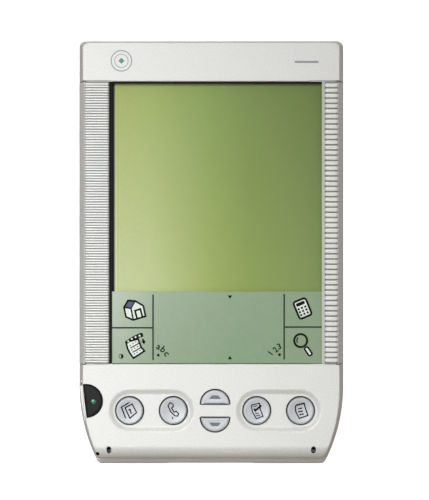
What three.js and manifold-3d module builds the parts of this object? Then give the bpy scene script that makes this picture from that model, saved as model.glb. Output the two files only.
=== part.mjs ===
// A pocket personal digital assistant: a silver two-shell case with ribbed side grips, a touch screen over a
// liquid crystal display, four round application buttons, two half-moon scroll buttons, a D-shaped power key,
// an expansion bay with its slide-out blank, two AAA cells behind a hinged door, and a stylus in a silo.
// Millimetres. +Z is out of the screen, +Y is towards the top of the device, +X is to its right.
// The origin is on the back face, under the middle of the case.
import * as THREE from "three";
import { mergeVertices } from "three/addons/utils/BufferGeometryUtils.js";
import Module from "manifold-3d";

const wasm = await Module();
wasm.setup();

// ---------------------------------------------------------------- driving dimensions
const WIDTH = 76.5;
const LENGTH = 121.8;
const FACE_Z = 17.4; // the flat front face
const BUTTON_TOP_Z = 17.8; // the highest point of the device
const SEAM_Z = 9.5; // lower rim of the front shell
const REAR_RIM_Z = 9.25; // upper rim of the rear shell, a hair below the seam
const CAVITY_TOP_Z = 15.9; // inside of the front face
const BACK_WALL = 1.5;

const TAPER_RADIUS = 47.5; // the sides curve in below TAPER_START_Y on this radius
const TAPER_START_Y = -38.5;
const TOP_CORNER_RADIUS = 1.7;
const BOTTOM_CORNER_RADIUS = 1.6;

const WINDOW = { x0: -28.9, x1: 32.15, y0: -31.6, y1: 48.4 };
const KEYS_X = 1.1; // the screen and the keys sit this far right of the middle
const KEYS_Y = -44.8;
const KEY_PAIR_X = 18.0; // from KEYS_X to the middle of a pair
const KEY_HALF_PITCH = 6.2;
const KEY_HOLE_RADIUS = 4.12;
const KEY_CAP_RADIUS = 3.9;
const DISH_FLOOR_Z = 16.8; // the shallow pill-shaped dish round each pair of keys
const DISH_HALF_LENGTH = 12.0;
const DISH_HALF_HEIGHT = 5.9;
const DISH_SLOPE = 1.25;

const SCROLL_HALF_WIDTH = 4.4;
const SCROLL_HEIGHT = 4.55;
const SCROLL_FLAT_OFFSET = 1.65; // from KEYS_Y to the flat side of each half-moon
const POWER = { x: -35.4, y: -42.05, radius: 4.8 };
const POWER_WALL_X = POWER.x - 0.6; // the hole's flat side
const POWER_FLANGE_ROOM = 1.1;
const POWER_PLUNGER_X = -32.4;
const KEY_GAP = 0.22;
const FLANGE_MARGIN = 0.8;
const FLANGE_Z0 = 15.0;
const FLANGE_Z1 = 15.8;
const PLUNGER_Z0 = 14.15;
const PLUNGER_RADIUS = 1.2;

const BOARD_Z0 = 12.2;
const BOARD_Z1 = 13.0;
const DOME_RADIUS = 2.1;
const DOME_TOP_Z = 13.55;

const RIB_COUNT = 54;
const RIB_HEIGHT = 0.3;
const GRIP_GAP = 0.1;
const GRIP_SKIN_Z = 17.3;

const BAY = { halfWidth: 27.35, y0: 3.6, top: 6.3 };
const CELL = { radius: 5.1, length: 44.5, z: 6.35, y: -41.6, spacing: 10.6 };
const TRAY = { halfWidth: 25.6, y0: -53.2, y1: -30.4, top: 11.6 };
const SILO = { x: 32.3, z: 5.1, bore: 2.75, y0: -45.0 };
const BOTTOM_SCREW = { x: 29.8, y: -50.6 };
const TOP_SCREW = { x: 22.5, y: 55.6 };
const RESET = { x: 18.0, y: -14.0 };
const SPEAKER = { x: -15.0, y: -14.0 };
const COVER_SOCKET = { x: 28.95, y: -55.9, halfHeight: 0.92, halfWidth: 0.56 };
const MICROPHONE_HOLE = { x: -32.2, y: -57.1, radius: 0.45 };
const DOOR_AXIS = { y: -52.0, z: 0.95 };
const DOOR_HALF_WIDTH = 25.3;
const DOOR_TOP_Y = -30.7;
const DOOR_BOTTOM_Y = -52.6;
const ABOVE = 19; // where cuts through the face end

// ---------------------------------------------------------------- materials
const metalPaint = { color: 0xc9c9c5, roughness: 0.42, metalness: 0.25 };
const finishes = {
  silver: metalPaint,
  grip: { ...metalPaint, color: 0xd2d2ce },
  keycap: { color: 0xcfd3d6, roughness: 0.25, metalness: 0.1 },
  black: { color: 0x161816, roughness: 0.6, metalness: 0 },
  glass: { color: 0xa3b86e, roughness: 0.1, metalness: 0 },
  film: { color: 0x9fb391, roughness: 0.35, metalness: 0 },
  board: { color: 0x2c6b3f, roughness: 0.5, metalness: 0 },
  plastic: { color: 0xe6e4dc, roughness: 0.6, metalness: 0 },
  metal: { color: 0xc0c2c4, roughness: 0.3, metalness: 1 },
  gold: { color: 0xcaa45a, roughness: 0.3, metalness: 1 },
  cell: { color: 0x3d5a7a, roughness: 0.35, metalness: 0.3 },
};

// ---------------------------------------------------------------- shape helpers
function solidOf(geometry) {
  const bare = geometry.clone();
  for (const name of ["normal", "uv"]) bare.deleteAttribute(name);
  const merged = mergeVertices(bare, 1e-4);
  return new wasm.Manifold(
    new wasm.Mesh({
      numProp: 3,
      vertProperties: merged.attributes.position.array,
      triVerts: new Uint32Array(merged.index.array),
    }),
  );
}

function geometryOf(solid) {
  const mesh = solid.getMesh();
  const geometry = new THREE.BufferGeometry();
  geometry.setAttribute("position", new THREE.BufferAttribute(mesh.vertProperties, 3));
  geometry.setIndex(new THREE.BufferAttribute(mesh.triVerts, 1));
  geometry.computeVertexNormals();
  return geometry;
}

function union(...solids) {
  return solids.reduce((sum, solid) => sum.add(solid));
}

function box(x0, x1, y0, y1, z0, z1) {
  const geometry = new THREE.BoxGeometry(x1 - x0, y1 - y0, z1 - z0);
  geometry.translate((x0 + x1) / 2, (y0 + y1) / 2, (z0 + z1) / 2);
  return solidOf(geometry);
}

// An upright cylinder, or a cone when topRadius differs.
function rod(x, y, z0, z1, radius, segments = 24, topRadius = radius) {
  const geometry = new THREE.CylinderGeometry(topRadius, radius, z1 - z0, segments);
  geometry.rotateX(Math.PI / 2);
  geometry.translate(x, y, (z0 + z1) / 2);
  return solidOf(geometry);
}

// A cylinder that lies along Y, or along X.
function rodAlongY(x, z, y0, y1, radius, segments = 24) {
  const geometry = new THREE.CylinderGeometry(radius, radius, y1 - y0, segments);
  geometry.translate(x, (y0 + y1) / 2, z);
  return solidOf(geometry);
}

function rodAlongX(y, z, x0, x1, radius, segments = 24) {
  const geometry = new THREE.CylinderGeometry(radius, radius, x1 - x0, segments);
  geometry.rotateZ(Math.PI / 2);
  geometry.translate((x0 + x1) / 2, y, z);
  return solidOf(geometry);
}

// A flat outline, given as points, raised from z0 to z1.
function prism(points, z0, z1) {
  const geometry = new THREE.ExtrudeGeometry(new THREE.Shape(points), {
    depth: z1 - z0,
    bevelEnabled: false,
  });
  geometry.translate(0, 0, z0);
  return solidOf(geometry);
}

// A section in the X-Z plane swept along Y from y0 to y1.
function barAlongY(section, y0, y1) {
  const points = section.map(([x, z]) => new THREE.Vector2(x, z));
  const geometry = new THREE.ExtrudeGeometry(new THREE.Shape(points), {
    depth: y1 - y0,
    bevelEnabled: false,
  });
  geometry.rotateX(Math.PI / 2);
  geometry.translate(0, y1, 0);
  return solidOf(geometry);
}

// A section in the Y-Z plane swept along X from x0 to x1.
function barAlongX(section, x0, x1) {
  const points = section.map(([y, z]) => new THREE.Vector2(y, z));
  const geometry = new THREE.ExtrudeGeometry(new THREE.Shape(points), {
    depth: x1 - x0,
    bevelEnabled: false,
  });
  geometry.rotateX(Math.PI / 2);
  geometry.rotateZ(Math.PI / 2);
  geometry.translate(x0, 0, 0);
  return solidOf(geometry);
}

// Joins rings of equally many points, bottom ring first, into one closed solid with flat convex ends.
function loft(rings) {
  const count = rings[0].points.length;
  const positions = [];
  for (const ring of rings) for (const p of ring.points) positions.push(p.x, p.y, ring.z);
  const faces = [];
  for (let level = 0; level + 1 < rings.length; level++) {
    for (let i = 0; i < count; i++) {
      const a = level * count + i;
      const b = level * count + ((i + 1) % count);
      faces.push(a, b, b + count, a, b + count, a + count);
    }
  }
  const last = (rings.length - 1) * count;
  for (let i = 1; i + 1 < count; i++) {
    faces.push(0, i + 1, i);
    faces.push(last, last + i, last + i + 1);
  }
  const geometry = new THREE.BufferGeometry();
  geometry.setAttribute("position", new THREE.Float32BufferAttribute(positions, 3));
  geometry.setIndex(faces);
  return solidOf(geometry);
}

function arcPoints(cx, cy, radius, from, to, steps) {
  return Array.from({ length: steps + 1 }, (_, i) => {
    const angle = from + ((to - from) * i) / steps;
    return new THREE.Vector2(cx + radius * Math.cos(angle), cy + radius * Math.sin(angle));
  });
}

// The case outline, pulled in by an amount at the sides, top and bottom. Anticlockwise from the bottom right.
function caseOutline(side, top, bottom) {
  const x = WIDTH / 2 - side;
  const topY = LENGTH / 2 - top;
  const bottomY = bottom - LENGTH / 2;
  const taper = TAPER_RADIUS - side;
  const taperX = x - taper;
  const cornerY = bottomY + BOTTOM_CORNER_RADIUS;
  const reach = taper - BOTTOM_CORNER_RADIUS;
  const cornerX = taperX + Math.sqrt(reach ** 2 - (cornerY - TAPER_START_Y) ** 2);
  const meet = Math.atan2(cornerY - TAPER_START_Y, cornerX - taperX);
  const cornerRadius = TOP_CORNER_RADIUS;
  const right = [
    ...arcPoints(cornerX, cornerY, BOTTOM_CORNER_RADIUS, -Math.PI / 2, meet, 3),
    ...arcPoints(taperX, TAPER_START_Y, taper, meet, 0, 6).slice(1),
    ...arcPoints(x - cornerRadius, topY - cornerRadius, cornerRadius, 0, Math.PI / 2, 4),
  ];
  const left = right.map((p) => new THREE.Vector2(-p.x, p.y)).reverse();
  return [...right, ...left];
}

function caseRings(levels) {
  return levels.map(([z, side, top, bottom]) => ({ z, points: caseOutline(side, top, bottom) }));
}

// ---------------------------------------------------------------- button outlines
// A half-moon: a flat side at y 0, a round side at y = height, with small corners.
function halfMoon(halfWidth, height, grow = 0) {
  const radius = (halfWidth ** 2 + height ** 2) / (2 * height);
  const centreY = height - radius;
  const half = Math.asin((halfWidth - 0.35) / radius);
  const arc = arcPoints(0, centreY, radius + grow, Math.PI / 2 - half, Math.PI / 2 + half, 14);
  return [
    new THREE.Vector2(-halfWidth + 0.5 - grow, -grow),
    new THREE.Vector2(halfWidth - 0.5 + grow, -grow),
    new THREE.Vector2(halfWidth + grow, 0.3),
    ...arc,
    new THREE.Vector2(-halfWidth - grow, 0.3),
  ];
}

function placed(points, x, y, flip = 1) {
  const moved = points.map((p) => new THREE.Vector2(p.x + x, p.y * flip + y));
  return flip > 0 ? moved : moved.reverse();
}

// The power button: a disc cut off by a line that follows the side of the case.
function powerOutline(radius, flatX) {
  const lean = 0.09; // the flat side leans in by this much per millimetre going down
  const wall = (y) => flatX + lean * (POWER.y - y);
  const steps = 18;
  const half = 1.62;
  const arc = arcPoints(POWER.x, POWER.y, radius, -half, half, steps);
  return arc.map((p) => new THREE.Vector2(Math.max(p.x, wall(p.y)), p.y));
}

// A stadium: two half circles of radius halfHeight joined by straight sides.
function stadium(cx, cy, halfLength, halfHeight, steps = 8) {
  const run = halfLength - halfHeight;
  return [
    ...arcPoints(cx + run, cy, halfHeight, -Math.PI / 2, Math.PI / 2, steps),
    ...arcPoints(cx - run, cy, halfHeight, Math.PI / 2, (3 * Math.PI) / 2, steps),
  ];
}

const keyCentres = {
  date_book: KEYS_X - KEY_PAIR_X - KEY_HALF_PITCH,
  address_book: KEYS_X - KEY_PAIR_X + KEY_HALF_PITCH,
  to_do_list: KEYS_X + KEY_PAIR_X - KEY_HALF_PITCH,
  memo_pad: KEYS_X + KEY_PAIR_X + KEY_HALF_PITCH,
};

// ---------------------------------------------------------------- front shell
// Levels are [z, side, top, bottom]: how far the skin is pulled in from the case outline at that height.
const FRONT_SKIN = [
  [SEAM_Z, 0.5, 0.4, 1.7],
  [12.4, 0.8, 0.65, 1.8],
  [14.4, 1.1, 0.85, 2.3],
  [16.0, 1.4, 1.1, 3.1],
  [17.04, 1.75, 1.35, 4.3],
  [FACE_Z, 2.15, 1.7, 5.7],
];
const FRONT_CAVITY = [
  [SEAM_Z - 1, 2.6, 2.0, 3.3],
  [12.4, 2.9, 2.2, 3.5],
  [14.4, 3.1, 2.4, 4.2],
  [CAVITY_TOP_Z, 3.5, 2.7, 6.2],
];

// The rail under each grip, as an X-Z section of what is taken off the shell there.
function gripSeatCut(sign) {
  const section = [
    [28.0, 16.65],
    [35.4, 16.65],
    [36.0, 15.6],
    [37.0, SEAM_Z - 1],
    [40, SEAM_Z - 1],
    [40, 19],
    [28.0, 19],
  ];
  const mirrored = section.map(([x, z]) => [x * sign, z]);
  return barAlongY(sign > 0 ? mirrored : mirrored.reverse(), WINDOW.y0 - GRIP_GAP, WINDOW.y1 + GRIP_GAP);
}

function screwPosts(place, z0, z1, radius) {
  return [-1, 1].map((sign) => rod(sign * place.x, place.y, z0, z1, radius, 16));
}

function dishOutline(x, grow) {
  return stadium(x, KEYS_Y, DISH_HALF_LENGTH + grow, DISH_HALF_HEIGHT + grow);
}

// An upright oval hole, one of two that hold the hinge of a screen cover.
function coverSocket(sign) {
  const { y, halfHeight, halfWidth } = COVER_SOCKET;
  const x = sign * COVER_SOCKET.x;
  const run = halfHeight - halfWidth;
  return [
    ...arcPoints(x, y + run, halfWidth, 0, Math.PI, 5),
    ...arcPoints(x, y - run, halfWidth, Math.PI, 2 * Math.PI, 5),
  ];
}

function frontShell() {
  let shell = loft(caseRings(FRONT_SKIN)).subtract(loft(caseRings(FRONT_CAVITY)));
  shell = union(
    shell,
    ...screwPosts(TOP_SCREW, 10.3, CAVITY_TOP_Z + 0.3, 2.4),
    ...screwPosts(BOTTOM_SCREW, 9.2, CAVITY_TOP_Z + 0.3, 2.4),
  );
  const cuts = [
    box(WINDOW.x0, WINDOW.x1, WINDOW.y0, WINDOW.y1, 15, 19),
    gripSeatCut(-1),
    gripSeatCut(1),
    ...screwPosts(TOP_SCREW, 10, 15, 1.15),
    ...screwPosts(BOTTOM_SCREW, 9, 14.9, 1.15),
  ];
  for (const sign of [-1, 1]) {
    const x = KEYS_X + sign * KEY_PAIR_X;
    cuts.push(
      loft([
        { z: DISH_FLOOR_Z, points: dishOutline(x, -DISH_SLOPE) },
        { z: FACE_Z + 0.2, points: dishOutline(x, 0.4) },
      ]),
    );
    const flatY = KEYS_Y + sign * SCROLL_FLAT_OFFSET;
    const moon = placed(halfMoon(SCROLL_HALF_WIDTH, SCROLL_HEIGHT), KEYS_X, flatY, sign);
    cuts.push(prism(moon, 15, ABOVE));
    cuts.push(prism(coverSocket(sign), 16.1, ABOVE));
  }
  for (const x of Object.values(keyCentres)) cuts.push(rod(x, KEYS_Y, 15, ABOVE, KEY_HOLE_RADIUS, 32));
  cuts.push(prism(powerOutline(POWER.radius, POWER_WALL_X), 14, ABOVE));
  cuts.push(prism(powerOutline(POWER.radius + POWER_FLANGE_ROOM, POWER_WALL_X), 14, CAVITY_TOP_Z));
  cuts.push(rod(MICROPHONE_HOLE.x, MICROPHONE_HOLE.y, 13, ABOVE, MICROPHONE_HOLE.radius, 10));
  return cuts.reduce((sum, cut) => sum.subtract(cut), shell);
}

// ---------------------------------------------------------------- side grips
// An angle of plastic over the rail: a top leg to the edge of the window and a side leg down the flank,
// crossed by raised ribs. innerX is where the top leg ends at the window.
function sideGrip(sign, innerX) {
  const toSide = (section) => {
    const mirrored = section.map(([x, z]) => [x * sign, z]);
    return sign > 0 ? mirrored : mirrored.reverse();
  };
  const outer = (grow) => [
    [innerX, GRIP_SKIN_Z + grow],
    [innerX, 16.75],
    [35.5, 16.75],
    [36.12, 15.65],
    [37.1, SEAM_Z + 0.15],
    [37.85 + grow, SEAM_Z + 0.15],
    [37.1 + grow, 15.4],
    [35.9 + grow, GRIP_SKIN_Z + grow],
  ];
  const length = WINDOW.y1 - WINDOW.y0;
  const pitch = length / (RIB_COUNT + 0.5);
  const skin = barAlongY(toSide(outer(0)), WINDOW.y0, WINDOW.y1);
  const ribs = Array.from({ length: RIB_COUNT }, (_, i) => {
    const y = WINDOW.y0 + pitch * (i + 0.5);
    return barAlongY(toSide(outer(RIB_HEIGHT)), y, y + pitch / 2);
  });
  return union(skin, ...ribs);
}

// ---------------------------------------------------------------- buttons
// Every button is a cap above a retaining flange, with a plunger over the middle of its dome.
function button(outlineAt, topZ, plungerX, plungerY) {
  const crown = loft([
    { z: FLANGE_Z1 - 0.2, points: outlineAt(0) },
    { z: topZ - 0.3, points: outlineAt(0) },
    { z: topZ, points: outlineAt(-0.35) },
  ]);
  const flange = prism(outlineAt(FLANGE_MARGIN), FLANGE_Z0, FLANGE_Z1);
  const plunger = rod(plungerX, plungerY, PLUNGER_Z0, FLANGE_Z0 + 0.2, PLUNGER_RADIUS, 14);
  return union(crown, flange, plunger);
}

function roundButton(x) {
  const ring = (grow) => arcPoints(x, KEYS_Y, KEY_CAP_RADIUS + grow, 0, 2 * Math.PI, 28).slice(0, -1);
  return button(ring, BUTTON_TOP_Z, x, KEYS_Y);
}

function scrollButton(sign) {
  const y = KEYS_Y + sign * SCROLL_FLAT_OFFSET;
  const moon = (grow) => halfMoon(SCROLL_HALF_WIDTH - KEY_GAP, SCROLL_HEIGHT - 2 * KEY_GAP, grow);
  const inset = (grow) => placed(moon(grow), KEYS_X, y + sign * KEY_GAP, sign);
  return button(inset, BUTTON_TOP_Z - 0.1, KEYS_X, y + sign * 2);
}

function powerButton() {
  const outline = (grow) => powerOutline(POWER.radius - KEY_GAP + grow, POWER.x - 0.35);
  return button(outline, BUTTON_TOP_Z - 0.15, POWER_PLUNGER_X, POWER.y);
}

function dome(x, y) {
  const profile = [
    new THREE.Vector2(0, 0),
    new THREE.Vector2(DOME_RADIUS, 0),
    new THREE.Vector2(DOME_RADIUS * 0.8, 0.3),
    new THREE.Vector2(DOME_RADIUS * 0.4, 0.5),
    new THREE.Vector2(0, DOME_TOP_Z - BOARD_Z1),
  ];
  const geometry = new THREE.LatheGeometry(profile, 14);
  geometry.rotateX(Math.PI / 2);
  geometry.translate(x, y, BOARD_Z1 + 0.01);
  return solidOf(geometry);
}

// ---------------------------------------------------------------- screen
const LCD = { x0: -29.9, x1: 33.3, y0: -13.8, y1: 49.8, z0: 13.35, z1: 14.4 };
const TOUCH = { x0: -31.2, x1: 34.2, y0: -33.9, y1: 50.7, z0: 14.5, z1: 15.45 };
const FILM_TOP_Y = -11.1; // the printed writing area reaches up to here

function touchPanel() {
  return box(TOUCH.x0, TOUCH.x1, TOUCH.y0, TOUCH.y1, TOUCH.z0, TOUCH.z1);
}

function writingAreaFilm() {
  return box(TOUCH.x0, TOUCH.x1, TOUCH.y0, FILM_TOP_Y, TOUCH.z1 + 0.02, TOUCH.z1 + 0.14);
}

// A thin dark frame between the shell and the touch panel. It shows most at the left and the top.
function screenGasket() {
  const ring = box(TOUCH.x0, TOUCH.x1, TOUCH.y0, TOUCH.y1, 15.62, 15.85);
  const opening = box(WINDOW.x0 + 0.75, WINDOW.x1 + 0.1, WINDOW.y0 + 0.12, WINDOW.y1 - 0.5, 15, 17);
  return ring.subtract(opening);
}

function displayPanel() {
  const glass = box(LCD.x0, LCD.x1, LCD.y0, LCD.y1 - 2.5, LCD.z0, LCD.z1);
  const ledge = box(LCD.x0, LCD.x1, LCD.y0, LCD.y1, LCD.z0, LCD.z0 + 0.5);
  return union(glass, ledge);
}

function backlightPanel() {
  return box(LCD.x0 + 1, LCD.x1 - 1, LCD.y0 + 1, LCD.y1 - 3, BOARD_Z1 + 0.08, LCD.z0 - 0.05);
}

// A moulded plate that holds the display and backs up the writing area.
function displayCarrier() {
  const plate = box(-32.6, 34.4, -35.0, 52.0, BOARD_Z1 + 0.08, TOUCH.z0 - 0.05);
  const pocket = box(LCD.x0 - 0.2, LCD.x1 + 0.2, LCD.y0 - 0.2, LCD.y1 + 0.2, 12, 16);
  const ribbonGap = box(-13, 13, 49, 54, 12, 16);
  const lightening = box(-24, 26, -31, -18, 12, 13.8);
  return [pocket, ribbonGap, lightening].reduce((sum, cut) => sum.subtract(cut), plate);
}

function displayRibbon() {
  const thin = 0.15;
  const top = LCD.z0 + 0.6;
  const foot = BOARD_Z1 + 0.05;
  const section = [
    [48.0, top],
    [52.4, top],
    [53.0, top - 0.3],
    [53.0, foot],
    [50.4, foot],
    [50.4, foot + thin],
    [52.85, foot + thin],
    [52.85, top - 0.35],
    [52.35, top - thin],
    [48.0, top - thin],
  ];
  return barAlongX(section.reverse().map(([y, z]) => [y, z + thin]), -12, 12);
}

function touchRibbon() {
  const thin = 0.15;
  const foot = BOARD_Z1 + 0.05;
  const section = [
    [TOUCH.y0 - 0.1, TOUCH.z0 + 0.5],
    [-35.9, TOUCH.z0 + 0.4],
    [-36.1, foot],
    [-37.4, foot],
    [-37.4, foot + thin],
    [-36.22, foot + thin],
    [-36.02, TOUCH.z0 + 0.5 + thin],
    [TOUCH.y0 - 0.1, TOUCH.z0 + 0.5 + thin],
  ];
  return barAlongX(section, 23.5, 29.5);
}

// ---------------------------------------------------------------- main board and what it carries
function mainBoard() {
  const chamfer = 4;
  const outline = [
    new THREE.Vector2(-27.5, -56.8),
    new THREE.Vector2(27.5, -56.8),
    new THREE.Vector2(33.0, -47),
    new THREE.Vector2(34.4, -38),
    new THREE.Vector2(34.4, 57.2 - chamfer),
    new THREE.Vector2(34.4 - chamfer, 57.2),
    new THREE.Vector2(-34.4 + chamfer, 57.2),
    new THREE.Vector2(-34.4, 57.2 - chamfer),
    new THREE.Vector2(-34.4, -38),
    new THREE.Vector2(-33.0, -47),
  ];
  const holes = [...screwPosts(TOP_SCREW, 12, 14, 2.9), ...screwPosts(BOTTOM_SCREW, 12, 14, 2.9)];
  return holes.reduce((sum, hole) => sum.subtract(hole), prism(outline, BOARD_Z0, BOARD_Z1));
}

function chip(x, y, width, length, height) {
  const top = BOARD_Z0 - 0.05;
  return box(x - width / 2, x + width / 2, y - length / 2, y + length / 2, top - height, top);
}

function backupCapacitor() {
  return rod(24, 14, BOARD_Z0 - 3.3, BOARD_Z0 - 0.05, 4.5, 24);
}

function moduleConnector() {
  const top = BOARD_Z0 - 0.05;
  const section = [
    [-1.5, 2.1],
    [3.3, 2.1],
    [3.3, 5.7],
    [0.6, 5.7],
    [0.6, top],
    [-1.5, top],
  ];
  return barAlongX(section, -25.2, 25.2);
}

function cradleConnector() {
  const top = BOARD_Z0 - 0.05;
  const section = [
    [-60.2, 3.3],
    [-55.0, 3.3],
    [-55.0, top],
    [-56.7, top],
    [-56.7, 7.3],
    [-60.2, 7.3],
  ];
  const grooves = Array.from({ length: 8 }, (_, i) => {
    const x = -8.75 + 2.5 * i;
    return box(x - 0.7, x + 0.7, -61, -59.6, 3.9, 6.7);
  });
  return grooves.reduce((sum, groove) => sum.subtract(groove), barAlongX(section, -12, 12));
}

function infraredTransceiver() {
  const top = BOARD_Z0 - 0.05;
  const section = [
    [-35.5, 5.2],
    [-31.0, 5.2],
    [-31.0, top],
    [-33.0, top],
    [-33.0, 7.8],
    [-35.5, 7.8],
  ];
  return barAlongY(section, 19.5, 28.5);
}

function infraredWindow() {
  return box(-37.75, -36.3, 18.3, 29.7, 4.9, 8.1);
}

function speakerDisc() {
  const plate = rod(SPEAKER.x, SPEAKER.y, 1.65, 1.9, 8.0, 28);
  const ceramic = rod(SPEAKER.x, SPEAKER.y, 1.85, 2.15, 5.5, 28);
  return union(plate, ceramic);
}

function microphone() {
  return rod(-26.4, -54.5, BOARD_Z1 + 0.05, 14.3, 1.8, 16);
}

function resetSwitch() {
  return box(RESET.x - 3, RESET.x + 3, RESET.y - 3, RESET.y + 3, 8.95, BOARD_Z0 - 0.05);
}

function resetPlunger() {
  const stem = rod(RESET.x, RESET.y, 2.0, 8.5, 1.35, 14);
  const tip = rod(RESET.x, RESET.y, 1.0, 2.2, 0.7, 14);
  return union(stem, tip);
}

// ---------------------------------------------------------------- rear shell
const REAR_SKIN = [
  [0, 3.2, 0.9, 3.0],
  [0.4, 2.1, 0.5, 1.9],
  [1.5, 1.1, 0.2, 0.9],
  [4.0, 0.45, 0.05, 0.3],
  [8.0, 0.2, 0, 0],
  [REAR_RIM_Z, 0.35, 0.1, 0.3],
];
const REAR_CAVITY = [
  [BACK_WALL, 3.2, 2.2, 3.2],
  [4.0, 2.1, 1.9, 2.1],
  [REAR_RIM_Z + 1, 1.8, 1.8, 1.9],
];

function tongue() {
  const outer = loft(caseRings([[8.0, 2.95, 2.35, 3.65], [10.2, 2.95, 2.35, 3.65]]));
  const inner = loft(caseRings([[7.0, 3.7, 3.1, 4.4], [11, 3.7, 3.1, 4.4]]));
  const shelf = loft(caseRings([[8.0, 1.2, 1.2, 1.2], [8.8, 1.2, 1.2, 1.2]]));
  return union(outer, shelf).subtract(inner);
}

function rearShell() {
  const shell = loft(caseRings(REAR_SKIN)).subtract(loft(caseRings(REAR_CAVITY)));
  const added = [
    tongue(),
    box(-29.1, 29.1, 2.4, 59.6, 0.8, 7.5),
    box(-TRAY.halfWidth - 1, TRAY.halfWidth + 1, TRAY.y0 - 1, TRAY.y1 + 1, 0.8, TRAY.top + 0.5),
    rodAlongY(SILO.x, SILO.z, SILO.y0 - 1.3, 59.6, 3.5, 20),
    rod(RESET.x, RESET.y, 0.8, 6, 2.8, 16),
    ...screwPosts(BOTTOM_SCREW, 0.8, 8.9, 3.4),
    ...screwPosts(TOP_SCREW, 7.0, 10.0, 3.0),
  ];
  const grooveZ = [2.9, 4.3];
  const cuts = [
    box(-BAY.halfWidth, BAY.halfWidth, BAY.y0, 63, -1, BAY.top),
    box(-28.15, 28.15, BAY.y0, 63, ...grooveZ),
    box(-25.5, 25.5, 2, 4, 1.8, 6.0),
    box(-TRAY.halfWidth, TRAY.halfWidth, TRAY.y0, TRAY.y1, -1, TRAY.top),
    rodAlongY(SILO.x, SILO.z, SILO.y0, 63, SILO.bore, 20),
    rodAlongX(DOOR_AXIS.y, DOOR_AXIS.z, -27, 27, 0.5, 12),
    box(-39, -35, 18, 30, 4.6, 8.4),
    box(-12.3, 12.3, -63, -58, 3.0, 7.6),
    box(-12.4, 12.4, -57.6, -54.6, 7.4, 12.2),
    rod(RESET.x, RESET.y, -1, 3, 1.0, 16),
    rod(RESET.x, RESET.y, BACK_WALL, 8, 1.65, 16),
    ...screwPosts(BOTTOM_SCREW, -1, 3.0, 2.25),
    ...screwPosts(BOTTOM_SCREW, -1, 9.5, 1.25),
    ...screwPosts(TOP_SCREW, 5, 8.4, 2.2),
    ...screwPosts(TOP_SCREW, 5, 11, 1.25),
  ];
  for (const sign of [-1, 1]) cuts.push(box(sign * 16 - 1.2, sign * 16 + 1.2, -63, -59.6, 4.0, 6.6));
  for (const offset of [-3, 0, 3]) {
    cuts.push(box(SPEAKER.x - 4, SPEAKER.x + 4, SPEAKER.y + offset - 0.5, SPEAKER.y + offset + 0.5, -1, 1.6));
  }
  return cuts.reduce((sum, cut) => sum.subtract(cut), union(shell, ...added));
}

// ---------------------------------------------------------------- expansion blank
// A tray that fills the bay and is open towards the inside. Its tongues run in the bay's grooves.
function expansionBlank() {
  const body = box(-27.05, 27.05, BAY.y0 + 0.3, LENGTH / 2 - 0.1, 0.1, 6.0);
  const tongues = box(-27.85, 27.85, BAY.y0 + 0.3, 58.0, 3.1, 4.1);
  const hollow = box(-25.7, 25.7, BAY.y0 + 1.6, LENGTH / 2 - 1.7, 1.4, 7);
  const fingerNotch = rodAlongX(LENGTH / 2 + 1.2, 0.0, -9, 9, 2.2, 20);
  return union(body, tongues).subtract(hollow).subtract(fingerNotch);
}

// ---------------------------------------------------------------- battery bay
function batteryDoor() {
  const section = [
    [DOOR_BOTTOM_Y, 0.6],
    [DOOR_AXIS.y + 0.1, 0.02],
    [DOOR_TOP_Y, 0.02],
    [DOOR_TOP_Y, 1.1],
    [DOOR_BOTTOM_Y, 1.1],
  ];
  const plate = barAlongX(section, -DOOR_HALF_WIDTH, DOOR_HALF_WIDTH);
  const pivots = rodAlongX(DOOR_AXIS.y, DOOR_AXIS.z, -26.3, 26.3, 0.35, 12);
  const boss = box(-DOOR_HALF_WIDTH, DOOR_HALF_WIDTH, -52.5, -51.3, 0.7, 1.25);
  const thumbNotch = rodAlongX(-31.6, -2.2, -6, 6, 2.6, 20);
  return union(plate, boss, pivots).subtract(thumbNotch);
}

function cell(row) {
  const y = CELL.y + row * (CELL.spacing / 2);
  const half = CELL.length / 2;
  const nub = 1.0;
  const inNub = 0.2;
  const ends = row > 0 ? [-half, half - nub] : [-half + nub, half];
  const nubEnds = row > 0 ? [half - nub - inNub, half] : [-half, -half + nub + inNub];
  return union(rodAlongX(y, CELL.z, ...ends, CELL.radius, 28), rodAlongX(y, CELL.z, ...nubEnds, 1.9, 16));
}

class Helix extends THREE.Curve {
  constructor(turns, x0, x1, r0, r1, y, z) {
    super();
    Object.assign(this, { turns, x0, x1, r0, r1, y, z });
  }

  getPoint(t, target = new THREE.Vector3()) {
    const angle = 2 * Math.PI * this.turns * t;
    const radius = this.r0 + (this.r1 - this.r0) * t;
    const x = this.x0 + (this.x1 - this.x0) * t;
    return target.set(x, this.y + radius * Math.cos(angle), this.z + radius * Math.sin(angle));
  }
}

// A cone of spring wire between a plate at x0 and the flat end of a cell at x1.
function contactSpring(y, x0, x1) {
  const wire = 0.3;
  const section = new THREE.Shape(arcPoints(0, 0, wire, 0, 2 * Math.PI, 5).slice(0, -1));
  const geometry = new THREE.ExtrudeGeometry(section, {
    steps: 38,
    extrudePath: new Helix(3.2, x0, x1, 3.4, 1.6, y, CELL.z),
    bevelEnabled: false,
  });
  return solidOf(geometry);
}

const CONTACT_X = 25.2;
const UPPER_Y = CELL.y + CELL.spacing / 2;
const LOWER_Y = CELL.y - CELL.spacing / 2;

function contactPlate(sign, y0, y1) {
  const outer = CONTACT_X * sign;
  const inner = (CONTACT_X - 0.35) * sign;
  return box(Math.min(outer, inner), Math.max(outer, inner), y0, y1, 2.2, 10.6);
}

function contactNub(sign, y) {
  const reach = [(CONTACT_X - 0.2) * sign, (CELL.length / 2 + 0.15) * sign].sort((a, b) => a - b);
  return rodAlongX(y, CELL.z, ...reach, 1.6, 12);
}

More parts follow.
